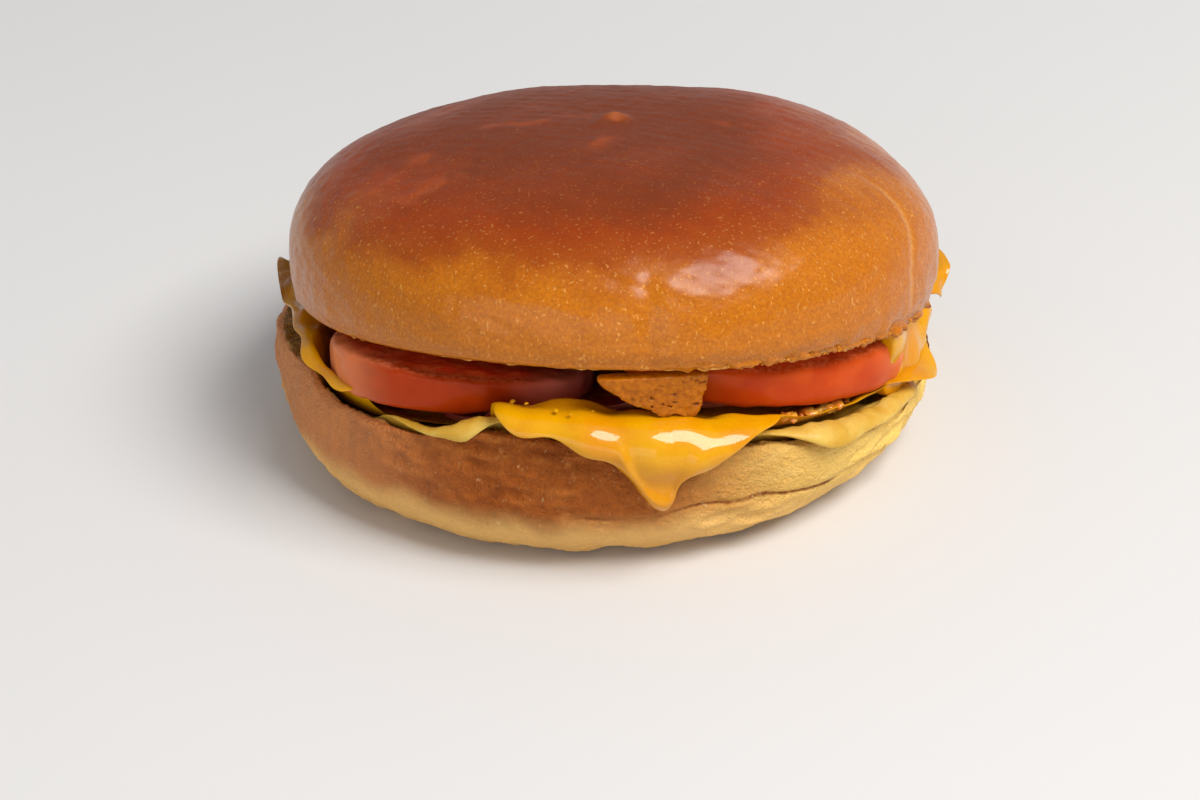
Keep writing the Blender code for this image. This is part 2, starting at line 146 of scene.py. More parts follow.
def skin(name, points, marks=None):
    """A closed mesh through a grid of points, row 0 and the last row each closed to one point."""
    rows, columns, _ = points.shape
    inner = points[1:-1].reshape(-1, 3)
    places = np.concatenate([[points[0].mean(axis=0)], inner, [points[-1].mean(axis=0)]])
    first = 1 + np.arange(columns)
    after = 1 + (np.arange(columns) + 1) % columns
    drop = (np.arange(rows - 3) * columns)[:, None]
    quads = np.stack([first + drop, first + columns + drop, after + columns + drop, after + drop], -1)
    low = (rows - 3) * columns
    top = np.stack([np.zeros_like(first), first, after], -1)
    bottom = np.stack([np.full_like(first, len(places) - 1), after + low, first + low], -1)
    size = np.einsum("ij,ij->i", places[quads[..., 0]].reshape(-1, 3),
                     np.cross(places[quads[..., 1]], places[quads[..., 2]]).reshape(-1, 3)).sum()
    way = int(np.sign(size))
    faces = [face for part in (quads.reshape(-1, 4), top, bottom) for face in part[:, ::way].tolist()]
    piece = smooth_mesh(name, places.tolist(), faces)
    for mark, values in (marks or {}).items():
        values = np.broadcast_to(values, (rows, columns))
        flat = np.concatenate([[values[0].mean()], values[1:-1].ravel(), [values[-1].mean()]])
        stored = piece.data.attributes.new(mark, "FLOAT", "POINT")
        stored.data.foreach_set("value", flat.astype(np.float32))
    print(name, len(faces), "faces")
    return piece


def place_on_frame(piece, material, slot, *nodes):
    """Give a piece its material and its body, print its slot, and let it stand for its CAD nodes."""
    piece.data.materials.append(material)
    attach(piece, "root")
    if nodes:
        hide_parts(*nodes)
    print(piece.name, "is painted with", material.name, "in slot", slot)


# %% [markdown]
# Materials are node graphs, and a graph is easier to read as arithmetic. The class Flow stands for
# one output of a node. Adding or multiplying two flows adds the Math node that does it. Colours go
# through Mix nodes, so that they stay coloured.


# %% Arithmetic on shader sockets
class Flow:
    """One output socket, with + - * that add Math nodes."""

    def __init__(self, paint, socket):
        self.paint = paint
        self.socket = socket

    def math(self, operation, first, second):
        return self.paint.node("ShaderNodeMath", {"operation": operation}, {0: first, 1: second})

    def __add__(self, other):
        return self.math("ADD", self, other)

    def __sub__(self, other):
        return self.math("SUBTRACT", self, other)

    def __mul__(self, other):
        return self.math("MULTIPLY", self, other)

    def __rsub__(self, other):
        return self.math("SUBTRACT", other, self)

    __radd__ = __add__
    __rmul__ = __mul__


class Paint:
    """A material with one Principled shader, built up by expressions."""

    MIX_FIRST, MIX_SECOND, MIX_RESULT = 6, 7, 2

    def __init__(self, name, **sockets):
        self.material = bpy.data.materials.new(name)
        self.material.use_nodes = True
        self.tree = self.material.node_tree
        self.shader = self.tree.nodes["Principled BSDF"]
        self.shader.inputs["Subsurface Scale"].default_value = 1.0
        for socket, value in sockets.items():
            self.shader.inputs[socket.replace("_", " ")].default_value = value

    def node(self, kind, settings, sockets, out=0):
        """Any node: its settings are put in first, then values or flows on its sockets."""
        made = self.tree.nodes.new(kind)
        for setting, value in settings.items():
            if setting == "stops":
                while len(made.color_ramp.elements) < len(value):
                    made.color_ramp.elements.new(0.5)
                for stop, (at, colour) in zip(made.color_ramp.elements, value):
                    stop.position = at
                    stop.color = colour
            else:
                setattr(made, setting, value)
        for socket, value in sockets.items():
            if isinstance(value, Flow):
                self.tree.links.new(value.socket, made.inputs[socket])
            else:
                made.inputs[socket].default_value = value
        return Flow(self, made.outputs[out])

    def place(self, stretch=(1, 1, 1)):
        """Object coordinates, stretched by a Mapping node."""
        coordinates = self.node("ShaderNodeTexCoord", {}, {}, "Object")
        return self.node("ShaderNodeMapping", {}, {"Vector": coordinates, "Scale": stretch})

    def mark(self, name):
        return self.node("ShaderNodeAttribute", {"attribute_name": name}, {}, "Fac")

    def noise(self, size, detail=3, rough=0.55, stretch=(1, 1, 1)):
        """Soft noise whose features are about size metres across, from 0 to 1."""
        return self.node("ShaderNodeTexNoise", {}, {"Vector": self.place(stretch), "Scale": 1 / size,
                                                    "Detail": detail, "Roughness": rough})

    def between(self, value, start, end):
        """0 at start and 1 at end, held there outside them, with soft ends."""
        return self.node("ShaderNodeMapRange", {"interpolation_type": "SMOOTHSTEP"},
                         {"Value": value, "From Min": start, "From Max": end})

    def mix(self, share, first, second):
        """The second colour over the first by a share from 0 to 1."""
        sockets = {"Factor": share, self.MIX_FIRST: first, self.MIX_SECOND: second}
        return self.node("ShaderNodeMix", {"data_type": "RGBA"}, sockets, self.MIX_RESULT)

    def patches(self, size, first, second, detail=4, spread=(0.35, 0.65)):
        """Two colours in soft patches about size metres across."""
        return self.mix(self.between(self.noise(size, detail), *spread), first, second)

    def tint(self, mark, share, first, second):
        """The second colour over the first where the mesh has a mark, up to a share."""
        return self.mix(self.mark(mark) * share, first, second)

    def ramp(self, value, *stops):
        return self.node("ShaderNodeValToRGB", {"stops": stops}, {"Fac": value})

    def bump(self, height, distance, strength=1.0):
        """A normal that leans as if the surface rose by distance where the height is 1."""
        sockets = {"Height": height, "Distance": distance, "Strength": strength}
        return self.node("ShaderNodeBump", {}, sockets)

    def feed(self, **flows):
        for socket, flow in flows.items():
            self.tree.links.new(flow.socket, self.shader.inputs[socket.replace("_", " ")])
        return self.material


def tone(red, green, blue):
    """A colour as seen on a screen, from 0 to 255, turned into the light that shaders count in."""
    share = np.array([red, green, blue]) / 255
    light = np.where(share <= 0.04045, share / 12.92, ((share + 0.055) / 1.055) ** 2.4)
    return (*[float(v) for v in light], 1.0)


print("socket arithmetic ready")

# %% [markdown]
# The camera stands half a metre in front of the sandwich and looks down on it by about 31 degrees,
# with a slight roll, because that is how it was photographed. A lens of 83 mm keeps the shape calm.


# %% Camera
def standing(axes, place):
    """The matrix of a thing at a place, with its own X, Y and Z along three axes."""
    turned = Matrix.Identity(4)
    for column, axis in enumerate((*axes, place)):
        for row in range(3):
            turned[row][column] = axis[row]
    return turned


LOOK_DOWN = math.radians(31.3)
ROLL = math.radians(1.85)
LOOK_AT = np.array([-0.6, 0.5, 0.0]) * MM
DISTANCE = 500 * MM
FOCAL_LENGTH = 82.95
SENSOR_WIDTH = 36
forward = np.array([0, math.cos(LOOK_DOWN), -math.sin(LOOK_DOWN)])
level_up = np.array([0, math.sin(LOOK_DOWN), math.cos(LOOK_DOWN)])
level_right = np.array([1.0, 0, 0])
right = level_right * math.cos(ROLL) - level_up * math.sin(ROLL)
upward = level_up * math.cos(ROLL) + level_right * math.sin(ROLL)
stand = standing((right, upward, -forward), LOOK_AT - forward * DISTANCE)
lens = bpy.data.cameras.new("camera")
lens.lens = FOCAL_LENGTH
lens.sensor_width = SENSOR_WIDTH
lens.clip_start = 0.01
camera = bpy.data.objects.new("camera", lens)
camera.matrix_world = stand
bpy.context.scene.collection.objects.link(camera)
bpy.context.scene.camera = camera
bpy.context.scene.view_settings.view_transform = "Standard"
print("camera at", [round(float(v), 3) for v in stand.translation])

# %% [markdown]
# Soft daylight comes from high up at the right and a little from the front. It puts a broad sheen
# on the crown's right shoulder and leaves the left side in gentle shade. A weak, wide light in
# front opens the gap between the halves of the bun. A pale world fills the shadows, and a pale
# floor throws light back up under the bun.


# %% Light and floor
def soft_light(name, place, aim, width, height, watts, colour):
    """A rectangle of light at a place, turned so that it shines at a point."""
    lamp = bpy.data.lights.new(name, "AREA")
    lamp.shape = "RECTANGLE"
    lamp.size = width
    lamp.size_y = height
    lamp.energy = watts
    lamp.color = colour
    holder = bpy.data.objects.new(name, lamp)
    back = np.array(place, float) - np.array(aim, float)
    back /= np.linalg.norm(back)
    side = np.cross([0, 0, 1], back)
    side /= np.linalg.norm(side)
    holder.matrix_world = standing((side, np.cross(back, side), back), place)
    bpy.context.scene.collection.objects.link(holder)


MIDDLE_OF_FOOD = (0.0, 0.0, 0.03)
WARM = (1.0, 0.97, 0.93)
NEARLY_WHITE = (1.0, 0.99, 0.97)
SKY = (0.93, 0.96, 1.0, 1.0)
SKY_STRENGTH = 0.40
FLOOR_SIZE = 4
soft_light("key", (0.62, -0.42, 1.10), MIDDLE_OF_FOOD, 0.70, 0.66, 19.5, WARM)
soft_light("front_fill", (-0.30, -0.80, 0.24), MIDDLE_OF_FOOD, 1.1, 0.44, 1.9, NEARLY_WHITE)
world = bpy.data.worlds.new("room")
world.use_nodes = True
world.node_tree.nodes["Background"].inputs["Color"].default_value = SKY
world.node_tree.nodes["Background"].inputs["Strength"].default_value = SKY_STRENGTH
bpy.context.scene.world = world

bpy.ops.mesh.primitive_grid_add(x_subdivisions=8, y_subdivisions=8, size=FLOOR_SIZE)
floor = bpy.context.object
floor.name = "floor"
floor_paint = Paint("floor_paint", Roughness=0.75)
floor.data.materials.append(floor_paint.feed(Base_Color=floor_paint.mix(
    floor_paint.noise(0.4), tone(208, 207, 206), tone(214, 213, 213))))
print("light and floor ready")

# %% [markdown]
# The heel is the lower half of the bun. Its side bulges, its foot is rounded and flat below, and
# its cut face was pressed into hollows by the tomato above. The same face function carries the
# egg, the cheese and the bacon, so every layer follows the bread.

# %% Sizes of the heel and of its cut face
HEEL_RADIUS = 57.3 * MM
HEEL_DEPTH_SHARE = 0.98
HEEL_WIDEST_HEIGHT = 12.5 * MM
HEEL_BASE_RADIUS = 44.5 * MM
HEEL_RIM_ROUND = 1.6 * MM
HEEL_WHOLE_HALF = 33.0 * MM
HEEL_SIDE_POWER = 2.4
FACE_MIDDLE = 17.4 * MM
FACE_RIGHT = -3.6 * MM
FACE_AWAY = -5.8 * MM
FACE_SADDLE = -1.5 * MM
FACE_TWIST = 1.6 * MM
TOMATO_LEFT = dict(middle=(-23.3 * MM, -25.6 * MM, 19.9 * MM), half_length=21.7 * MM,
                   half_width=19.7 * MM, turn=math.radians(-10), right=-0.057, away=-0.284,
                   thick=7.5 * MM, wedge=-0.097, sheen_end=-1, stack=7.2 * MM, stack_falls=4.6 * MM)
TOMATO_RIGHT = dict(middle=(27.1 * MM, -23.2 * MM, 20.8 * MM), half_length=26.8 * MM,
                    half_width=19.0 * MM, turn=math.radians(34), right=-0.165, away=-0.15,
                    thick=7.8 * MM, wedge=0.06, sheen_end=1, stack=7.2 * MM, stack_falls=2.4 * MM)
SLICES = (TOMATO_LEFT, TOMATO_RIGHT)
print("heel is", round(2 * HEEL_RADIUS / MM, 1), "mm wide")


# %% The heel's surface
def slice_share(slice_, x, y):
    """0 at the middle of a tomato slice and 1 on its oval edge."""
    dx = x - slice_["middle"][0]
    dy = y - slice_["middle"][1]
    a = dx * math.cos(slice_["turn"]) + dy * math.sin(slice_["turn"])
    b = dy * math.cos(slice_["turn"]) - dx * math.sin(slice_["turn"])
    return np.hypot(a / slice_["half_length"], b / slice_["half_width"])


def slice_cover(slice_, x, y, fades=1.35):
    return 1 - smooth_step(slice_share(slice_, x, y), 1.0, fades)


def slice_under(slice_, x, y):
    """The height of a slice's lower face, a plane through its middle."""
    return (slice_["middle"][2] + slice_["right"] * (x - slice_["middle"][0])
            + slice_["away"] * (y - slice_["middle"][1]))


def slice_thickness(slice_, x):
    return slice_["thick"] + slice_["wedge"] * (x - slice_["middle"][0])


def face_height(x, y):
    """A bent plane, a + b*u + c*v + d*(u*u - v*v) + e*2*u*v, that gives way under each slice, down
    to the slice's lower face less the stack of layers between them."""
    radius = np.hypot(x, y)
    u = x / HEEL_RADIUS
    v = y / HEEL_RADIUS
    level = (FACE_MIDDLE + FACE_RIGHT * u + FACE_AWAY * v
             + FACE_SADDLE * (u * u - v * v) + FACE_TWIST * 2 * u * v)
    fades = 2.3 - 1.12 * smooth_step(radius, 40 * MM, 52 * MM)
    dents = []
    for s in SLICES:
        stack = s["stack"] - s["stack_falls"] * smooth_step(radius, 50.5 * MM, 55.5 * MM)
        over = level - slice_under(s, x, y) + stack
        over = 0.5 * (over + np.sqrt(over * over + (0.6 * MM) ** 2))
        dents.append(slice_cover(s, x, y, fades) * over)
    lip = 1 - 0.6 * smooth_step(radius, 53 * MM, 56 * MM) * smooth_step(-x, 10 * MM, 25 * MM)
    return level - np.maximum.reduce(dents) * lip


def heel_radius(bearing):
    return HEEL_RADIUS * (1 + 0.004 * np.cos(2 * bearing + 0.6) + 0.004 * np.cos(3 * bearing + 2.0))


def on_heel(bearing, radius):
    return radius * np.cos(bearing), radius * HEEL_DEPTH_SHARE * np.sin(bearing)


def rim_height(bearing):
    return face_height(*on_heel(bearing, 55 * MM))


def side_radius(bearing, height):
    """The side of a bun: one minus a power of the height, and the root of that."""
    share = np.clip(height - HEEL_WIDEST_HEIGHT, 0, None) / HEEL_WHOLE_HALF
    return heel_radius(bearing) * (1 - share**HEEL_SIDE_POWER) ** (1 / HEEL_SIDE_POWER)


def rim_radius(bearing):
    return side_radius(bearing, rim_height(bearing) - HEEL_RIM_ROUND)


def heel_outline(bearing, place):
    """Radius, height and outward and upward shares: place 0 to 1 crosses the cut face, to 2 turns
    over the rim, to 3 goes down the side, to 4 rounds the foot and to 5 crosses the base."""
    rim = rim_radius(bearing)
    top = rim_height(bearing)
    widest = heel_radius(bearing)
    face_radius = (rim - HEEL_RIM_ROUND) * np.clip(place, 0, 1)
    face_z = face_height(*on_heel(bearing, face_radius))
    turn = np.clip(place - 1, 0, 1) * math.pi / 2
    edge_z = face_height(*on_heel(bearing, rim - HEEL_RIM_ROUND))
    rim_r = rim - HEEL_RIM_ROUND * (1 - np.sin(turn))
    rim_z = edge_z - HEEL_RIM_ROUND * (1 - np.cos(turn)) + (top - edge_z) * np.sin(turn)
    down = np.clip(place - 2, 0, 1)
    side_z = (top - HEEL_RIM_ROUND) * (1 - down) + HEEL_WIDEST_HEIGHT * down
    side_r = side_radius(bearing, side_z)
    foot = np.clip(place - 3, 0, 1) * math.pi / 2
    foot_r = HEEL_BASE_RADIUS + (widest - HEEL_BASE_RADIUS) * np.cos(foot)
    foot_z = HEEL_WIDEST_HEIGHT * (1 - np.sin(foot))
    base_r = HEEL_BASE_RADIUS * (5 - np.clip(place, 4, 5))
    steps = [place <= 1, place <= 2, place <= 3, place <= 4]
    radius = np.select(steps, [face_radius, rim_r, side_r, foot_r], base_r)
    height = np.select(steps, [face_z, rim_z, side_z, foot_z], 0.0)
    out = np.select(steps, [0.0, np.sin(turn), 1.0, np.cos(foot)], 0.0)
    up = np.select(steps, [1.0, np.cos(turn), 0.0, -np.sin(foot)], -1.0)
    return radius, height, out, up


print("rim at the front", round(float(rim_height(np.array(-math.pi / 2))) / MM, 1), "mm up")

# %% [markdown]
# The heel's crust is matt and finely wrinkled, with a pale ring round its foot, an uneven crease
# above the ring at the front, and pale ridges under the rim at the right. The wrinkles are relief
# in the mesh, so that they also show in profile, and the finest pores are left to the material.
# The cut face is open crumb, so it is rough.

# %% The heel
CREASE_HEIGHTS = ((0, 9.5), (200, 11.5), (250, 11.8), (262, 11.4), (285, 12.4), (311, 9.4), (335, 8.8))
WRINKLE_STRETCH = np.array([1, 1, 3.2])
RIDGE_STRETCH = np.array([1, 1, 4.5])
RIDGE_BEARING = 315
turn, depth = grid(420, 225)
place = np.interp(depth, (0, 0.24, 0.36, 0.56, 0.92, 1), (0, 1, 2, 3, 4, 5))
radius, height, out, up = heel_outline(turn, place)
flat = joined(*on_heel(turn, radius), height)
on_face = 1 - smooth_step(place, 0.97, 1.25)
on_crust = smooth_step(place, 1.2, 1.6) * (1 - smooth_step(place, 3.85, 4.0))
crease_z = around(turn, CREASE_HEIGHTS) * MM + 0.5 * MM * ripple(flat, 14 * MM, 31)
patchy = 0.4 + 0.6 * smooth_step(ripple(flat, 17 * MM, 5), -0.6, 0.6)
crease = bump_at(height, crease_z, 0.55 * MM) * on_crust * patchy
degrees = np.degrees(turn) % 360
crease = crease * (0.1 + 0.9 * smooth_step(degrees, 256, 268) * (1 - smooth_step(degrees, 318, 336)))
wrinkles = ripple(flat * WRINKLE_STRETCH, 9 * MM, 8) * smooth_step(ripple(flat, 26 * MM, 9), -0.6, 0.9)
ridges = smooth_step(ripple(flat * RIDGE_STRETCH, 11 * MM, 6), 0.1, 1.1) * bump_at(degrees, RIDGE_BEARING, 13)
ridges = ridges * smooth_step(height, 12 * MM, 14 * MM) * on_crust
swell = 0.28 * MM * ripple(flat, 24 * MM, 2)
pits = 0.07 * MM * crumble(flat, 2.6 * MM, 3)
relief = on_crust * (swell + 0.26 * MM * wrinkles + 0.35 * MM * ridges + pits) - 0.35 * MM * crease
open_crumb = 0.25 * MM * crumble(flat, 3.0 * MM, 12) + 0.10 * MM * ripple(flat, 0.9 * MM, 15)
relief = relief + on_face * open_crumb
heel_points = joined(*on_heel(turn, radius + relief * out), height + relief * up * (place < 3.98))
heel_points[..., 2] = np.maximum(heel_points[..., 2], 0)
heel_marks = {
    "crumb": on_face,
    "crease": crease,
    "foot": 1 - smooth_step(height - crease_z + 0.3 * MM * ripple(flat, 13 * MM, 7), -5.0 * MM, 1.6 * MM),
    # Painted light: paler towards the right, where the light falls.
    "sunny": smooth_step(flat[..., 0] - 0.2 * flat[..., 1], 14 * MM, 56 * MM),
    "wrinkle": smooth_step(wrinkles, 0.3, 1.6),
    "ridges": ridges,
    # Painted sheen: paler towards the left, as the greyish sheen that side shows.
    "floury": smooth_step(-flat[..., 0], 20 * MM, 52 * MM),
}
heel = skin("heel", heel_points, heel_marks)


# %% [markdown]
# Bread crust is brown where the oven's heat reached it and pale where it didn't. Its colour comes
# from the marks, broken up by noise of several sizes, and a dull roughness with a fine grain of
# pores makes it look dry. Light and shade are also painted in: the right side is painted paler
# where the light falls, the left side paler as a greyish sheen, and the crease and the cut crumb
# darker as shade.


# %% The heel's crust
def heel_material():
    paint = Paint("heel_crust", IOR=1.42, Specular_IOR_Level=0.15, Subsurface_Weight=0.03,
                  Subsurface_Radius=(0.004, 0.002, 0.001))
    fine = paint.noise(1.6 * MM, 5, 0.65)
    crust = paint.patches(22 * MM, tone(158, 80, 26), tone(190, 106, 40), 3, (0.35, 0.68))
    crust = paint.mix(paint.between(fine, 0.30, 0.72), paint.mix(0.5, crust, tone(122, 58, 20)), crust)
    crust = paint.tint("wrinkle", 0.16, crust, tone(222, 140, 60))
    blotch = paint.noise(4.5 * MM, 5, 0.7)
    crust = paint.mix(paint.between(blotch, 0.52, 0.72) * 0.6, crust, tone(108, 50, 16))
    crust = paint.mix(paint.between(blotch, 0.42, 0.25) * 0.4, crust, tone(226, 156, 84))
    # Painted sheen: the left side is made paler, as the greyish sheen it shows.
    crust = paint.tint("floury", 0.6, crust, tone(236, 160, 102))
    crust = paint.tint("ridges", 0.7, crust, tone(250, 214, 140))
    # Painted light: the right side, where the light falls, is made paler.
    crust = paint.tint("sunny", 0.9, crust, tone(255, 214, 116))
    crust = paint.tint("foot", 0.75, crust, tone(255, 205, 122))
    # Painted shade: the crease is made darker, as the shade in it.
    crust = paint.mix(paint.between(paint.mark("crease") + (fine - 0.5), 0.35, 1.1), crust, tone(126, 62, 22))
    flour = paint.between(paint.noise(0.9 * MM, 2, 0.5, (1, 1, 0.6)), 0.66, 0.78)
    crust = paint.mix(flour * 0.35, crust, tone(240, 205, 150))
    # Painted shade: the cut crumb is darker than the crown's, as the shade under the filling.
    crumb = paint.patches(1.1 * MM, tone(120, 84, 30), tone(176, 128, 62))
    colour = paint.mix(paint.mark("crumb"), crust, crumb)
    pores = paint.noise(0.55 * MM, 3, 0.6)
    return paint.feed(Base_Color=colour, Roughness=fine * 0.25 + 0.42,
                      Normal=paint.bump(pores + fine * 1.4 + blotch, 0.0006, 1.0))


place_on_frame(heel, heel_material(), "heel_bun", "heel_bun")

# %% [markdown]
# The egg is one soft cooked sheet, thicker at the right, and it droops over the rim. The
# cheese lies on it and has melted down the front to a drip. Both are the heel's own outline,
# carried outwards by the thickness of what is below, so they bend over the rim as a soft sheet
# would. A sheet's edge is rounded by letting its thickness fall as the root of 1 - s to a high
# power, where s is the share of the way out to the edge.

# %% Thicknesses and the way down the heel
SHEET_GAP = 0.7 * MM
EGG_THICK = 1.3 * MM
EGG_RIM_THICK = 0.6 * MM
EGG_FOLD_THICK = 2.4 * MM
CHEESE_THICK = 2.0 * MM
CHEESE_SQUEEZE = 0.8 * MM
EGG_REACH = ((0, -5.0), (40, -6.0), (90, -3.0), (140, -6.0), (185, -8.0), (205, -4.0),
             (214, -3.0), (222, -1.8), (229, -0.6), (236, 0.2), (241, 1.8), (246, 2.6), (250, 0.5),
             (256, -3.0), (289, -3.0), (296, 0.2), (302, 1.6), (311, 2.2), (320, 2.4), (328, 2.2),
             (336, 1.2), (346, -3.0))
CHEESE_REACH = ((8, 9.0), (17, 8.2), (28, -4.0), (55, -9.0), (95, -1.0), (140, -9.0),
                (166, -2.0), (170, 0.45), (177, 0.6), (183, 0.3), (189, -1.2), (200, -0.2), (210, 1.0),
                (221, 1.0), (229, -5.0), (237, -8.0), (244, -7.0), (248, -3.0), (252, 1.2),
                (258, 2.5), (264, 3.1), (268, 3.9), (271.5, 4.4), (273.6, 6.2), (275.8, 9.2),
                (277.6, 11.5), (279, 12.2), (280.2, 11.4), (281.0, 9.2), (282.0, 7.4),
                (284.2, 5.3), (286.4, 4.2), (289.5, 3.0), (293, 1.9), (298, 1.0), (303, -0.4),
                (309, -0.9), (318, -1.2), (326, -0.6), (332, 0.6), (339, 1.5), (345, 0.8),
                (352, 0.0), (358, -1.0))
CHEESE_HANG = ((8, 0.1), (20, 0.1), (40, 1.0), (140, 1.0), (172, 0.0), (182, 0.2), (200, 1.0),
               (330, 1.0), (352, 1.0), (359, 0.8))
CHEESE_RISE = ((10, 1.0), (60, 1.0), (150, 1.0), (172, 6.5), (180, 6.5), (196, 1.0), (220, 1.0))


def egg_thickness(x, y):
    rim = smooth_step(np.hypot(x, y), 48 * MM, 54 * MM)
    fold = smooth_step(x * 0.9 - y * 0.3, 18 * MM, 42 * MM)
    fold = fold * smooth_step(np.hypot(x, y), 54.5 * MM, 57 * MM)
    return EGG_THICK + EGG_RIM_THICK * rim + EGG_FOLD_THICK * fold


def cheese_thickness(x, y):
    return CHEESE_THICK - CHEESE_SQUEEZE * np.maximum.reduce([slice_cover(s, x, y) for s in SLICES])


def cheese_foot(x, y):
    lift = 0.6 * MM * smooth_step(np.hypot(x, y), 46 * MM, 53 * MM)
    return 2 * SHEET_GAP + egg_thickness(x, y) + lift


def cheese_top(x, y):
    return face_height(x, y) + cheese_foot(x, y) + cheese_thickness(x, y)


def place_of(bearing, length, lift):
    """The place on the outline after a length from the middle, for a sheet lifted above it."""
    face = rim_radius(bearing) - HEEL_RIM_ROUND
    bend = (HEEL_RIM_ROUND + lift) * math.pi / 2
    side = rim_height(bearing) - HEEL_RIM_ROUND - HEEL_WIDEST_HEIGHT
    foot = HEEL_WIDEST_HEIGHT * math.pi / 2
    ends = np.cumsum([face, bend * np.ones_like(face), side, foot * np.ones_like(face)], axis=0)
    steps = [length <= ends[0], length <= ends[1], length <= ends[2]]
    on_side = 2 + (length - ends[1]) / side
    return np.select(steps, [length / ends[0], 1 + (length - ends[0]) / bend, on_side],
                     3 + (length - ends[2]) / foot)


def sheet_edge(depth, power):
    """Share of the way out to the edge, and 1 on the top side, -1 below and 0 at the edge."""
    share = np.sin((1 - np.abs(1 - 2 * depth)) * math.pi / 2)
    return share, np.sqrt(np.clip(1 - share**power, 0, 1)) * np.where(depth < 0.5, 1, -1)


print("sheets ready")

# %% The egg
turn, depth = grid(360, 180)
share, side = sheet_edge(depth, 22)
wander = joined(np.cos(turn), np.sin(turn), 0 * turn)
reach = rim_radius(turn) - HEEL_RIM_ROUND + around(turn, EGG_REACH) * MM + 0.5 * MM * ripple(wander, 0.35, 40)
radius, height, out, up = heel_outline(turn, place_of(turn, reach * share, EGG_THICK / 2))
x, y = on_heel(turn, radius)
flat = joined(x, y, height)
thick = egg_thickness(x, y) * (1 + 0.10 * ripple(flat, 12 * MM, 41))
away = SHEET_GAP + thick / 2 * (1 + side)
folds = 0.25 * MM * ripple(flat, 9 * MM, 42) + 0.12 * MM * crumble(flat, 3.5 * MM, 43)
away = away + folds * smooth_step(share, 0.6, 0.95) * (0.5 + 0.5 * side)
egg = skin("egg", joined(*on_heel(turn, radius + away * out), height + away * up))


# %% [markdown]
# Cooked egg is pale yellow and slightly see-through, with a soft wet sheen and small blisters.


# %% The egg's material
def egg_material():
    paint = Paint("cooked_egg", IOR=1.4, Specular_IOR_Level=0.35, Subsurface_Weight=0.25,
                  Subsurface_Radius=(0.005, 0.003, 0.001))
    colour = paint.patches(6 * MM, tone(196, 150, 46), tone(210, 174, 84))
    blister = paint.noise(1.3 * MM, 3)
    return paint.feed(Base_Color=colour, Roughness=blister * 0.2 + 0.30,
                      Normal=paint.bump(blister, 0.0003, 0.6))


place_on_frame(egg, egg_material(), "egg_sheet", "egg_sheet")

# %% [markdown]
# The cheese is the brightest piece. It hangs thickest along its lower edge, where it gathered as
# it ran, and shallow tension folds run up from the drip to the rim. At the left and right its
# corners stand out from the bun, so there the sheet is carried straight out and up instead of
# down the side. The columns of the grid crowd together round the drip, where the edge bends most.

# %% The cheese
DRIP_BEARING = 279
CROWD = 0.55
turn, depth = grid(520, 190)
turn = turn - CROWD * np.sin(turn - math.radians(DRIP_BEARING))
share, side = sheet_edge(depth, 16)
face = rim_radius(turn) - HEEL_RIM_ROUND
wander = joined(np.cos(turn), np.sin(turn), 0 * turn)
reach = face + around(turn, CHEESE_REACH) * MM + 0.35 * MM * ripple(wander, 0.22, 50)
length = reach * share
radius, height, out, up = heel_outline(turn, place_of(turn, length, EGG_THICK))
x, y = on_heel(turn, radius)
flat = joined(x, y, height)
past = np.clip(length - face, 0, None)
to_edge = reach - length
bead = 0.55 * bump_at(to_edge, 1.6 * MM, 1.5 * MM) * smooth_step(past, 1.5 * MM, 4 * MM)
thick = cheese_thickness(x, y) * (1 + bead)
egg_past = np.clip(around(turn, EGG_REACH), 0, None) * MM
sag = smooth_step(past - egg_past, 1 * MM, 8 * MM)
away = cheese_foot(x, y) * (1 - sag) + 0.75 * MM * sag + thick / 2 * (1 + side)
strain = np.degrees(turn) % 360 - DRIP_BEARING
tension = bump_at(strain, 0, 16) * np.cos(strain * 0.55 + past / MM * 0.12) * 0.35 * MM
soft = 0.22 * MM * ripple(flat, 8 * MM, 51) + tension * smooth_step(past, -1 * MM, 3 * MM)
away = away + soft * (0.5 + 0.5 * side) * smooth_step(share, 0.55, 0.8)
pool = bump_at(x, -6.5 * MM, 5.0 * MM) * bump_at(y, -44 * MM, 3.6 * MM)
away = away + 5.0 * MM * pool * (0.5 + 0.5 * side)
held_z = rim_height(turn) + away + around(turn, CHEESE_RISE) * past
hang = np.where(past > 0, around(turn, CHEESE_HANG), 1.0)
radius = (radius + away * out) * hang + length * (1 - hang)
height = (height + away * up) * hang + held_z * (1 - hang)
cheese = skin("cheese", joined(*on_heel(turn, radius), height))


# %% [markdown]
# Melted cheese is deep yellow with a glossy, slightly oily skin, and light sinks a little way
# into it. A clear coat gives the sharp gleams, and a grain of tiny bumps dulls what is below it.


# %% The cheese's material
def cheese_material():
    paint = Paint("melted_cheese", IOR=1.45, Specular_IOR_Level=0.08, Subsurface_Weight=0.06,
                  Subsurface_Radius=(0.004, 0.002, 0.0005), Coat_Weight=0.7, Coat_Roughness=0.07)
    colour = paint.patches(9 * MM, tone(206, 134, 0), tone(214, 152, 0))
    grain = paint.noise(0.8 * MM, 3)
    return paint.feed(Base_Color=colour, Roughness=grain * 0.18 + 0.20,
                      Normal=paint.bump(grain, 0.00018, 0.5))


cheese_paint = cheese_material()
place_on_frame(cheese, cheese_paint, "cheese_slice", "cheese_slice")

# %% [markdown]
# Bacon is a thin strip that ripples as it fries, with bands of pale fat along dark lean meat. A
# strip is a ring of points carried along a path: the ring is a flattened loop whose two long sides
# are the strip's faces.

# %% Bacon
FRONT_BEARINGS = (231, 316)
FRONT_INNER = 25 * MM
FRONT_OUTER = ((180, 45), (231, 45), (240, 49.5), (250, 51.5), (260, 46), (285, 45), (300, 46.5),
               (309, 48), (340, 47))
BACK_LINE = np.array(((-48.5, -4), (-26, 5), (0, 10), (20, 13), (32, 14))) * MM
BACK_WIDTH = 23 * MM


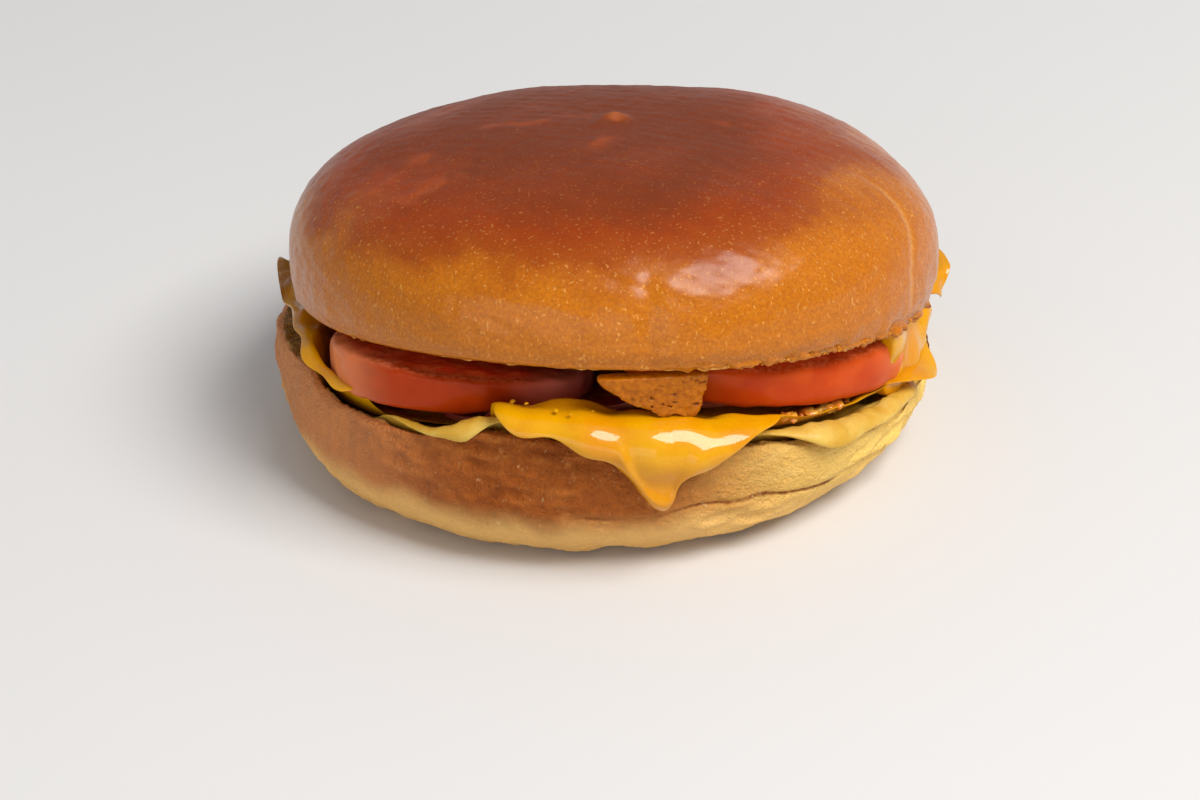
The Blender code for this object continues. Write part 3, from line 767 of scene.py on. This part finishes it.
def strip(columns, rows, across_power, end_power):
    """Across from 0 to 1 and side from -1 to 1 round a squarish loop, along from 0 to 1 down the
    rows, and the taper at both ends, the root of one minus a power of the way from the middle."""
    turn, along = grid(columns, rows)
    size = squarish(turn, across_power)
    taper = np.sqrt(np.clip(1 - np.abs(2 * along - 1) ** end_power, 0, 1))
    return 0.5 + 0.5 * size * np.cos(turn) * taper, size * np.sin(turn), along, taper


def rasher(name, thick, lay):
    """A strip laid by a function of along and across, pulled in at both ends."""
    across, side, along, taper = strip(140, 240, 6, 40)
    x, y, z = lay(along, across)
    flat = joined(x, y, 0 * x)
    z = z + thick / 2 * (1 + side * taper) + 0.12 * MM * crumble(flat, 4 * MM, 60) * (0.5 + 0.5 * side)
    return skin(name, joined(x, y, z), {"across": across})


def lay_front(along, across):
    first, last = np.radians(FRONT_BEARINGS)
    bearing = first + (last - first) * along
    outer = around(bearing, FRONT_OUTER) * MM + 0.4 * MM * np.sin(21 * along)
    x, y = on_heel(bearing, FRONT_INNER + (outer - FRONT_INNER) * across)
    return x, y, cheese_top(x, y) + 1.2 * MM


def lay_back(along, across):
    at = along * (len(BACK_LINE) - 1)
    x = np.interp(at, range(len(BACK_LINE)), BACK_LINE[:, 0])
    y = np.interp(at, range(len(BACK_LINE)), BACK_LINE[:, 1]) + BACK_WIDTH * (across - 0.5)
    y = y + 1.2 * MM * np.sin(7 * along + 1) + 0.7 * MM * np.sin(17 * along)
    return x, y, cheese_top(x, y) + 1.1 * MM + 0.35 * MM * (1 - np.cos(5 * TWO_PI * along))


front_bacon = rasher("front_bacon", 1.6 * MM, lay_front)
back_bacon = rasher("back_bacon", 1.6 * MM, lay_back)


LEAN_AND_FAT = ((0.0, tone(190, 56, 36)), (0.22, tone(200, 76, 50)), (0.34, tone(214, 160, 130)),
                (0.46, tone(190, 60, 40)), (0.72, tone(164, 48, 34)), (0.84, tone(205, 140, 118)),
                (1.0, tone(128, 44, 36)))


def bacon_material():
    paint = Paint("fried_bacon", IOR=1.45, Specular_IOR_Level=0.35, Coat_Weight=0.4, Coat_Roughness=0.2)
    bands = paint.mark("across") + (paint.noise(10 * MM, 3) - 0.5) * 0.5
    colour = paint.ramp(bands, *LEAN_AND_FAT)
    grain = paint.noise(1.2 * MM, 4)
    return paint.feed(Base_Color=paint.mix(paint.between(grain, 0.3, 0.7) * 0.3, colour, tone(110, 30, 24)),
                      Roughness=grain * 0.3 + 0.25, Normal=paint.bump(grain, 0.0003, 0.7))


fried = bacon_material()
place_on_frame(front_bacon, fried, "bacon", "bacon_front")
place_on_frame(back_bacon, fried, "bacon", "bacon_back")

# %% [markdown]
# Each tomato slice is a flattened ball: an oval whose edge is a squarish curve, so that it keeps
# two nearly flat faces and a rounded side of skin. One end of each slice is painted paler as a
# sheen, the glossy right end of the left slice is painted pale pink as a reflection, and a broken
# line of painted glints runs along the edge between a cut face and the skin.


# %% Tomato
SLICE_EDGE_POWER = 9


def tomato(name, slice_, seed):
    """A grid from the middle of the top face, out round the side and back below. The edge follows
    the power curve |cos|^p + |sin|^p = 1."""
    turn, depth = grid(300, 170)
    angle = depth * math.pi
    angle = angle + 0.18 * np.sin(4 * angle)
    size = squarish(angle, SLICE_EDGE_POWER)
    reach = size * np.sin(angle)
    level = size * np.cos(angle)
    wobble = 1 + 0.012 * np.cos(3 * turn + slice_["middle"][0] / MM)
    a = slice_["half_length"] * reach * np.cos(turn) * wobble
    b = slice_["half_width"] * reach * np.sin(turn) * wobble
    x = slice_["middle"][0] + a * math.cos(slice_["turn"]) - b * math.sin(slice_["turn"])
    y = slice_["middle"][1] + a * math.sin(slice_["turn"]) + b * math.cos(slice_["turn"])
    thick = slice_thickness(slice_, x)
    flat = joined(x, y, slice_under(slice_, x, y) + thick / 2 * (1 + level))
    bulge = 0.4 * MM * reach**6 * (1 - level**2)
    grown = flat + joined(np.cos(turn + slice_["turn"]), np.sin(turn + slice_["turn"]), 0) * (
        bulge + 0.10 * MM * ripple(flat, 7 * MM, seed) * reach)[..., None]
    grown[..., 2] += 0.16 * MM * ripple(flat, 5 * MM, seed + 1) * np.abs(level) ** 3
    cut = smooth_step(np.abs(level), 0.93, 0.985)
    lengthways = slice_["sheen_end"] * a / slice_["half_length"]
    vein = bump_at(lengthways, 0.66 + 0.05 * level**2, 0.012) * (1 - cut) * (slice_["sheen_end"] > 0)
    wet = smooth_step(-lengthways, 0.45, 0.9) * (slice_["sheen_end"] < 0)
    marks = {"cut": cut, "edge": bump_at(level, 0.90, 0.07), "vein": vein,
             "pale": smooth_step(lengthways, 0.3, 0.95), "wet": wet}
    return skin(name, grown, marks)


def tomato_material(name, side, deep):
    paint = Paint(name, IOR=1.4, Specular_IOR_Level=0.06, Subsurface_Weight=0.08,
                  Subsurface_Radius=(0.006, 0.0015, 0.0008), Coat_Roughness=0.15)
    fine = paint.noise(0.9 * MM, 3)
    colour = paint.patches(8 * MM, side, deep, 3)
    # Painted sheen: one end of each slice is made paler, as the sheen on its skin.
    colour = paint.tint("pale", 0.75, colour, tone(242, 146, 92))
    # Painted reflection: the glossy right end of the left slice is made pale pink, as the sky it mirrors.
    colour = paint.tint("wet", 0.9, colour, tone(244, 138, 118))
    colour = paint.tint("vein", 0.6, colour, tone(240, 160, 112))
    flesh = paint.patches(3 * MM, tone(212, 58, 26), tone(230, 104, 56), 3, (0.4, 0.6))
    colour = paint.mix(paint.mark("cut"), colour, flesh)
    # Painted highlight: pale glints are painted along the edge between cut face and skin.
    painted_glints = paint.mark("edge") * paint.between(fine, 0.35, 0.65) * 0.5
    colour = paint.mix(painted_glints, colour, tone(236, 130, 90))
    return paint.feed(Base_Color=colour, Roughness=0.34 - paint.mark("edge") * 0.16 + fine * 0.1,
                      Coat_Weight=paint.mark("edge") * 0.5 + paint.mark("wet") * 0.4 + 0.2,
                      Normal=paint.bump(fine * paint.mark("cut") + paint.noise(2.5 * MM) * 0.5, 0.0003, 0.5))


left_slice = tomato("left_slice", TOMATO_LEFT, 70)
right_slice = tomato("right_slice", TOMATO_RIGHT, 80)
# Painted shade: the left slice's skin gets darker reds than the right's, as the shade on the left.
place_on_frame(left_slice, tomato_material("tomato_left_flesh", tone(170, 54, 6), tone(150, 42, 4)),
               "tomato", "tomato_left")
place_on_frame(right_slice, tomato_material("tomato_right_flesh", tone(198, 74, 14), tone(184, 60, 10)),
               "tomato", "tomato_right")

# %% [markdown]
# A torn tongue of half melted cheese hangs from the crown's lip. It is a strip hung from a line
# just inside the lip, narrower below, with pits where it bubbled, mostly at the right, and a
# ragged lower edge.

# %% The tongue of cheese
CROWN_MIDDLE = (2.3 * MM, -2.2 * MM, 28.6 * MM)
CROWN_TIP_BACK = math.radians(10.2)
CROWN_TIP_RIGHT = math.radians(1.9)
TONGUE_TOP_ENDS = (-1.0 * MM, 16.6 * MM)
TONGUE_LOW_ENDS = (6.0 * MM, 15.2 * MM)
TONGUE_LOW_HEIGHTS = (30.4 * MM, 27.4 * MM)
TONGUE_RADIUS = 51.6 * MM
TONGUE_THICK = 2.4 * MM
along, side, down, taper = strip(200, 120, 5, 26)
top_x = TONGUE_TOP_ENDS[0] + (TONGUE_TOP_ENDS[1] - TONGUE_TOP_ENDS[0]) * along
low_x = TONGUE_LOW_ENDS[0] + (TONGUE_LOW_ENDS[1] - TONGUE_LOW_ENDS[0]) * along
x = top_x + (low_x - top_x) * down**1.8
y = -np.sqrt(TONGUE_RADIUS**2 - x**2)
lip = (CROWN_MIDDLE[1] - y) * math.tan(CROWN_TIP_BACK) - x * math.tan(CROWN_TIP_RIGHT)
top_z = CROWN_MIDDLE[2] + lip - 0.6 * MM
low_z = TONGUE_LOW_HEIGHTS[0] + (TONGUE_LOW_HEIGHTS[1] - TONGUE_LOW_HEIGHTS[0]) * along
notches = 0.5 * MM * np.sin(13 * along) * np.sin(math.pi * along)
corners = 1.0 * MM * np.abs(2 * along - 1) ** 5
low_z = low_z + notches + corners
z = top_z + (low_z - top_z) * down
flat = joined(x, y, z)
bubbles = smooth_step(ripple(flat * np.array([1, 0.2, 1]), 1.1 * MM, 90), 1.1, 1.8)
pits = bubbles * smooth_step(down * 0.7 + along * 0.6, 0.35, 0.7)
front = side * TONGUE_THICK / 2 * taper - 0.4 * MM * pits * np.clip(side, 0, 1)
y = y - TONGUE_THICK / 2 - front + 0.05 * MM * crumble(flat, 2.2 * MM, 91)
tongue = skin("tongue", joined(x + 0.12 * MM * crumble(flat, 2.5 * MM, 95) * taper, y, z), {"pits": pits})


def tongue_material():
    paint = Paint("torn_cheese", IOR=1.42, Specular_IOR_Level=0.12, Coat_Weight=0.25, Coat_Roughness=0.2,
                  Subsurface_Weight=0.2, Subsurface_Radius=(0.003, 0.0015, 0.0005))
    fine = paint.noise(0.9 * MM, 4, 0.65)
    colour = paint.mix(paint.between(fine, 0.35, 0.65), tone(160, 85, 0), tone(184, 105, 0))
    # Painted shade: the pits are made darker, as the shade in them.
    colour = paint.tint("pits", 0.8, colour, tone(128, 54, 6))
    return paint.feed(Base_Color=colour, Roughness=fine * 0.3 + 0.40, Normal=paint.bump(fine, 0.0003, 0.6))


place_on_frame(tongue, tongue_material(), "cheese_tongue", "cheese_tongue")

# %% [markdown]
# The crown is a low dome, tipped back by the tomatoes under its front. Above its widest ring it
# follows a power curve, which makes the flat top and full shoulders of a bun that rose in a tin.
# The lip of its cut face crumbles at the lower right, and a small knob with a dimple marks the
# middle of the top.

# %% The crown's shape
CROWN_RADIUS = 55.9 * MM
CROWN_DEPTH_SHARE = 0.97
CROWN_CUT_RADIUS = 55.0 * MM
CROWN_WIDEST_HEIGHT = 4.0 * MM
CROWN_DOME_HEIGHT = 23.0 * MM
CROWN_DOME_POWER = 2.55
CROWN_CUT_ROUND = 1.2 * MM
CROWN_SKIRT_DROP = 3.0 * MM
BACON_STACK = 4.6 * MM
SLICE_GAP = 1.0 * MM


def crown_to_world(points):
    """Turn about X, then about Y, then move to the place on the filling."""
    x, y, z = points[..., 0], points[..., 1], points[..., 2]
    cos_back, sin_back = math.cos(CROWN_TIP_BACK), math.sin(CROWN_TIP_BACK)
    y, z = y * cos_back + z * sin_back, z * cos_back - y * sin_back
    cos_right, sin_right = math.cos(CROWN_TIP_RIGHT), math.sin(CROWN_TIP_RIGHT)
    x, z = x * cos_right + z * sin_right, z * cos_right - x * sin_right
    return joined(x, y, z) + np.array(CROWN_MIDDLE)


def crown_outline(turn, place):
    """Radius, height and outward direction: place 0 to 1 is the dome, to 2 the side below the
    widest ring, to 3 the lip and to 4 the cut face."""
    angle = np.clip(place, 0, 1) * math.pi / 2
    size = squarish(angle, CROWN_DOME_POWER)
    wide = CROWN_RADIUS * (1 + 0.004 * np.cos(2 * turn + 1.2) + 0.003 * np.cos(5 * turn))
    dome_r = wide * size * np.sin(angle)
    dome_z = CROWN_WIDEST_HEIGHT + CROWN_DOME_HEIGHT * size * np.cos(angle)
    down = np.clip(place - 1, 0, 1)
    drop = CROWN_SKIRT_DROP * np.cos(turn) ** 2 - 0.9 * MM * bump_at(np.degrees(turn) % 360, 240, 34)
    side_r = wide + (CROWN_CUT_RADIUS - wide) * down**2
    side_z = CROWN_WIDEST_HEIGHT + (CROWN_CUT_ROUND - drop - CROWN_WIDEST_HEIGHT) * down
    bend = np.clip(place - 2, 0, 1) * math.pi / 2
    lip_r = CROWN_CUT_RADIUS - CROWN_CUT_ROUND * (1 - np.cos(bend))
    lip_z = CROWN_CUT_ROUND * (1 - np.sin(bend)) - drop
    face_r = (CROWN_CUT_RADIUS - CROWN_CUT_ROUND) * (4 - np.clip(place, 3, 4))
    steps = [place <= 1, place <= 2, place <= 3]
    radius = np.select(steps, [dome_r, side_r, lip_r], face_r)
    height = np.select(steps, [dome_z, side_z, lip_z], -drop * (face_r / CROWN_CUT_RADIUS) ** 2)
    out = np.select(steps, [(dome_r / wide) ** 1.6, 1.0, np.cos(bend)], 0.0)
    up = np.select(steps, [np.sqrt(np.clip(1 - (dome_r / wide) ** 3.2, 0, 1)), 0.0, -np.sin(bend)], -1.0)
    return radius, height, out, up


print("crown is", round(2 * CROWN_RADIUS / MM, 1), "mm wide")

# %% The crown's relief
LIP_RAGGED = ((0, 0.5), (60, 0.3), (180, 0.04), (240, 0.04), (270, 0.1), (290, 0.7), (325, 0.9),
              (345, 0.7))
KNOB_RIGHT = 0.3 * MM
KNOB_NEAR = 1.0 * MM
DIMPLE_BEARING = 274.8
PLEAT_BEARING = 331
PLEAT_LEAN = 8
PLEAT_DEPTH = 0.35 * MM
turn, depth = grid(400, 235)
place = np.interp(depth, (0, 0.66, 0.76, 0.86, 1), (0, 1, 2, 3, 4))
radius, height, out, up = crown_outline(turn, place)
x = radius * np.cos(turn)
y = radius * CROWN_DEPTH_SHARE * np.sin(turn)
flat = joined(x, y, height)
lip = bump_at(place, 2.45, 0.55)
on_skin = 1 - smooth_step(place, 2.1, 2.6)
ragged = around(turn, LIP_RAGGED)
from_knob = np.hypot(x - KNOB_RIGHT, y + KNOB_NEAR)
knob = 1.2 * MM * bump_at(from_knob, 0, 2.4 * MM)
knob = knob - 1.0 * MM * bump_at(np.hypot(x - 0.6 * MM, (y + 2.4 * MM) * 1.6), 0, 1.3 * MM)
knob = knob + 0.35 * MM * bump_at(np.hypot(x + 2.2 * MM, y + 4.0 * MM), 0, 2.6 * MM)
degrees = np.degrees(turn) % 360
below_top = smooth_step(-height, -19 * MM, -12 * MM)
dimple = 0.55 * MM * bump_at(degrees, DIMPLE_BEARING, 1.6) * below_top * on_skin
pleat_line = PLEAT_BEARING + PLEAT_LEAN * smooth_step(height, 6 * MM, 20 * MM)
pleat_ends = smooth_step(height, 0, 3 * MM) * (1 - smooth_step(height, 18 * MM, 22 * MM))
pleat = PLEAT_DEPTH * bump_at(degrees, pleat_line, 0.55) * pleat_ends
swell = 0.16 * MM * ripple(flat, 40 * MM, 100) + 0.05 * MM * ripple(flat, 14 * MM, 101)
upright = ripple(flat * np.array([1, 1, 0.3]), 4 * MM, 103)
swell = swell + 0.06 * MM * upright * (1 - smooth_step(height, 2 * MM, 11 * MM))
swell = swell + 0.5 * MM * bump_at(x, 16 * MM, 16 * MM) * bump_at(y, -40 * MM, 12 * MM)
swell = swell + 1.3 * MM * bump_at(x, 34 * MM, 20 * MM) * bump_at(y, 30 * MM, 22 * MM)
fine = 0.035 * MM * crumble(flat, 3.4 * MM, 102, 2)
crags = (0.45 * crumble(flat, 3.2 * MM, 104, 4) + 0.25 * ripple(flat, 0.9 * MM, 109)) * MM * ragged * lip
cut = smooth_step(place, 2.8, 3.2)
crumb_relief = cut * (0.35 * MM * crumble(flat, 3 * MM, 110) + 0.12 * MM * ripple(flat, 0.9 * MM, 115))
relief = (swell + fine) * on_skin + knob * (place < 1) - dimple - pleat - crags + crumb_relief
stretched = flat + joined(out * np.cos(turn), out * np.sin(turn), up) * relief[..., None]
crown_world = crown_to_world(stretched)
print("the knob stands", round(float(knob.max()) / MM, 1), "mm up")


def rest_height(x, y):
    """The tops of the tomato, or else of the bacon, that the soft cut face sinks down to."""
    rest = cheese_top(x, y) + BACON_STACK
    for s in SLICES:
        top = slice_under(s, x, y) + slice_thickness(s, x) + SLICE_GAP
        cover = slice_cover(s, x, y)
        rest = np.where(cover > 0, np.maximum(rest, rest + (top - rest) * np.sqrt(cover)), rest)
    return rest


inside = (place > 3) * (1 - smooth_step(radius, 40 * MM, 51 * MM))
sink = rest_height(crown_world[..., 0], crown_world[..., 1]) - crown_world[..., 2]
crown_world[..., 2] += np.clip(sink, -3.5 * MM, 6.0 * MM) * inside

# %% The crown's marks
STREAKS = ((-21, -3, 1, 0.5, 1.6), (-37, -28, -24, -22, 2.6), (14, -1.5, 22, -2, 1.2),
           (-3, -15, 0, -11, 2.2), (-40, -20, -32, -14, 1.6))
streaks = np.zeros_like(x)
for from_x, from_y, to_x, to_y, width in STREAKS:
    along_x, along_y = (to_x - from_x) * MM, (to_y - from_y) * MM
    t = ((x - from_x * MM) * along_x + (y - from_y * MM) * along_y) / (along_x**2 + along_y**2)
    t = np.clip(t, 0, 1)
    away = np.hypot(x - from_x * MM - t * along_x, y - from_y * MM - t * along_y)
    away = away + 0.6 * MM * ripple(flat, 6 * MM, 124)
    streaks = np.maximum(streaks, bump_at(np.clip(away, 0, None), 0, width * MM))
baked_height = height / MM + 0.9 * ripple(flat, 18 * MM, 120) + 0.35 * ripple(flat, 5 * MM, 121)
crown_marks = {
    # Painted light: the right side counts as less baked, so it comes out paler where the light falls.
    "baked": smooth_step(baked_height - 6 * smooth_step(x, 8 * MM, 44 * MM), 10, 27.5),
    "low": 1 - smooth_step(height / MM + 0.6 * ripple(flat, 9 * MM, 122), 0, 9),
    "streaks": streaks * smooth_step(ripple(flat, 5 * MM, 123), -1.0, 0.8),
    "knob": bump_at(from_knob, 0, 1.8 * MM) * (place < 1),
    "cut": smooth_step(place + 0.3 * np.clip(ragged - 0.4, 0, 1), 2.6, 2.95),
    "pleat": pleat / PLEAT_DEPTH,
}
crown = skin("crown", crown_world, crown_marks)


# %% [markdown]
# The crown was brushed with egg wash, so its crust shines under a thin uneven glaze. It goes from
# pale gold near the cut edge to deep red-brown on top, with small pale flecks where the glaze
# missed. Its right side is painted paler where the light falls, and a pale line along the pleat is
# a painted highlight. A thin coat gives the sheen, and a fine grain roughens the crust below it.


# %% The crown's crust
def crown_material():
    paint = Paint("glazed_crust", IOR=1.45, Specular_IOR_Level=0.12, Coat_Roughness=0.24)
    baked = paint.mark("baked")
    mottle = paint.noise(3.5 * MM, 4, 0.6)
    grain = paint.noise(0.55 * MM, 4, 0.65)
    colour = paint.ramp(baked + (mottle - 0.5) * 0.22, (0.0, tone(186, 105, 0)), (0.30, tone(150, 67, 0)),
                        (0.64, tone(140, 52, 0)), (1.0, tone(110, 45, 14)))
    colour = paint.tint("low", 0.22, colour, tone(200, 122, 24))
    colour = paint.tint("streaks", 0.5, colour, tone(170, 72, 20))
    flecks = paint.between(paint.noise(0.8 * MM, 2, 0.5, (1.5, 1.5, 0.9)), 0.60, 0.72)
    colour = paint.mix(flecks * (1 - baked * 0.75) * 0.38, colour, tone(250, 184, 92))
    colour = paint.mix(paint.between(grain, 0.62, 0.36) * 0.30, colour, tone(118, 50, 12))
    # Painted highlight: a pale line along the pleat.
    colour = paint.tint("pleat", 0.4, colour, tone(236, 180, 110))
    colour = paint.tint("knob", 0.35, colour, tone(206, 116, 66))
    crumb = paint.patches(1.0 * MM, tone(196, 128, 50), tone(232, 178, 96))
    colour = paint.mix(paint.mark("cut"), colour, crumb)
    rough = grain * 0.10 + mottle * 0.06 + 0.20 + baked * 0.20 + paint.mark("cut") * 0.4
    height = grain + flecks * 0.5 + mottle * 0.5
    return paint.feed(Base_Color=colour, Roughness=rough, Coat_Weight=0.45 - baked * 0.36,
                      Normal=paint.bump(height, 0.00010, 0.8))


place_on_frame(crown, crown_material(), "crown_bun", "crown_bun")

# %% [markdown]
# At the right a corner of the cheese slice folded back on itself. It fills the gap between the
# rim of the heel and the crown's lip with a crumpled, bright yellow band. It is the same kind of
# strip as the tongue, bent round the bun, with its crumples in the mesh.

# %% The folded corner
FOLD_BEARINGS = (328, 352)
FOLD_LOW = ((320, 17.0), (329, 15.5), (336, 12.6), (343, 14.0), (355, 18.0))
FOLD_HIGH = ((320, 31.5), (329, 30.6), (340, 28.0), (352, 25.0))
FOLD_RADIUS = 54.4 * MM
FOLD_MOST_RADIUS = 59.5 * MM
FOLD_HALF_THICK = 1.6 * MM
FOLD_PATTERN_RADIUS = 57 * MM
along, side, down, taper = strip(160, 110, 5, 14)
bearing = np.radians(FOLD_BEARINGS[0] + (FOLD_BEARINGS[1] - FOLD_BEARINGS[0]) * along)
low_z = around(bearing, FOLD_LOW) * MM
z = around(bearing, FOLD_HIGH) * MM * (1 - down) + low_z * down
flat = joined(FOLD_PATTERN_RADIUS * np.cos(bearing), FOLD_PATTERN_RADIUS * np.sin(bearing), z)
crumple = 0.30 * MM * ripple(flat, 7 * MM, 130) + 0.8 * MM * np.sin(down * 7 + 6 * along)
radius = FOLD_RADIUS + 1.4 * MM * np.sin(math.pi * down) + side * FOLD_HALF_THICK * taper
radius = np.minimum(radius + crumple * (0.6 + 0.4 * side), FOLD_MOST_RADIUS)
fold = skin("cheese_fold", joined(*on_heel(bearing, radius), z + 0.4 * MM * ripple(flat, 6 * MM, 135)))
place_on_frame(fold, cheese_paint, "cheese_slice")

# %% [markdown]
# Small things make food look fresh: crumbs that broke off the crown's lip, beads of melted cheese,
# and wet bits of tomato pulp where the right slice sits on the cheese. Each kind is one mesh of
# many lumpy balls with sixty faces each.


# %% A mesh of lumps
LUMP_SIDES = 10
LUMP_ROWS = 7


def lumps(name, places, sizes, seed, flatness=0.8):
    """A ball for each place: sin and cos of two angles times its size, pushed in and out by a
    ripple, all in one mesh."""
    turn, depth = grid(LUMP_SIDES, LUMP_ROWS)
    angle = depth * math.pi
    ball = joined(np.sin(angle) * np.cos(turn), np.sin(angle) * np.sin(turn), flatness * np.cos(angle))
    ball = np.concatenate([[ball[0, 0]], ball[1:-1].reshape(-1, 3), [ball[-1, 0]]])
    first = 1 + np.arange(LUMP_SIDES)
    after = 1 + (np.arange(LUMP_SIDES) + 1) % LUMP_SIDES
    last_row = LUMP_SIDES * (LUMP_ROWS - 3)
    faces = [[0, a, b] for a, b in zip(first, after)]
    for up in range(0, last_row, LUMP_SIDES):
        low = up + LUMP_SIDES
        faces += [[a + up, a + low, b + low, b + up] for a, b in zip(first, after)]
    faces += [[len(ball) - 1, b + last_row, a + last_row] for a, b in zip(first, after)]
    faces = np.array([f if len(f) == 4 else f + [-1] for f in faces])
    centres = np.array(places, float)
    shapes = ball[None] * np.array(sizes, float)[:, None, None]
    shapes = shapes * (1 + 0.22 * ripple(shapes + centres[:, None], 0.9 * MM, seed))[..., None]
    points = (shapes + centres[:, None]).reshape(-1, 3)
    drop = (np.arange(len(centres)) * len(ball))[:, None, None]
    every = np.where(faces[None] < 0, -1, faces[None] + drop).reshape(-1, 4)
    print(name, len(centres), "lumps")
    return smooth_mesh(name, points.tolist(), [[int(v) for v in f if v >= 0] for f in every])


print("lumps have", LUMP_SIDES, "sides")

# %% Crumbs
CRUMBS = 90
chance = np.random.default_rng(7)
bearing = np.radians(chance.uniform(283, 338, CRUMBS))
edge_r, edge_z, _, _ = crown_outline(bearing, chance.uniform(2.0, 3.0, CRUMBS))
edge_y = edge_r * CROWN_DEPTH_SHARE * np.sin(bearing)
edge = crown_to_world(joined(edge_r * np.cos(bearing), edge_y, edge_z))
crumbs = lumps("crumbs", edge, chance.uniform(0.10, 0.34, CRUMBS) * MM, 140)


def crumb_material():
    paint = Paint("dry_crumb", IOR=1.4, Specular_IOR_Level=0.1, Roughness=0.8)
    return paint.feed(Base_Color=paint.patches(1 * MM, tone(186, 110, 26), tone(214, 142, 52), 3, (0.4, 0.6)))


place_on_frame(crumbs, crumb_material(), "crown_bun")

# %% Beads of cheese
BEADS = ((253.5, 51.5, 0.45), (256.5, 53.0, 0.35), (262.0, 54.6, 0.4), (264.5, 55.4, 0.35), (268, 53, 0.3),
         (286, 52, 0.35), (291, 50, 0.3))
bead_b = np.radians([b for b, _, _ in BEADS])
bead_r = np.array([r for _, r, _ in BEADS]) * MM
bead_x, bead_y = on_heel(bead_b, bead_r)
bead_size = np.array([size for _, _, size in BEADS]) * MM
bead_z = cheese_top(bead_x, bead_y) + 0.1 * bead_size
beads = lumps("cheese_beads", joined(bead_x, bead_y, bead_z), bead_size, 150, 0.6)
place_on_frame(beads, cheese_paint, "cheese_slice")

# %% Pulp
PULP = 26
pulp_b = np.radians(chance.uniform(301, 322, PULP))
pulp_r = chance.uniform(49.5, 53.5, PULP) * MM
pulp_x, pulp_y = on_heel(pulp_b, pulp_r)
pulp = lumps("tomato_pulp", joined(pulp_x, pulp_y, cheese_top(pulp_x, pulp_y) + 0.3 * MM),
             chance.uniform(0.5, 1.5, PULP) * MM, 160, 0.4)


def pulp_material():
    paint = Paint("wet_pulp", IOR=1.36, Subsurface_Weight=0.4, Subsurface_Radius=(0.004, 0.002, 0.001),
                  Coat_Weight=0.8, Coat_Roughness=0.05)
    colour = paint.patches(3 * MM, tone(226, 120, 30), tone(246, 184, 70), 3, (0.4, 0.6))
    return paint.feed(Base_Color=colour, Roughness=paint.noise(1 * MM) * 0.2 + 0.1)


place_on_frame(pulp, pulp_material(), "tomato")
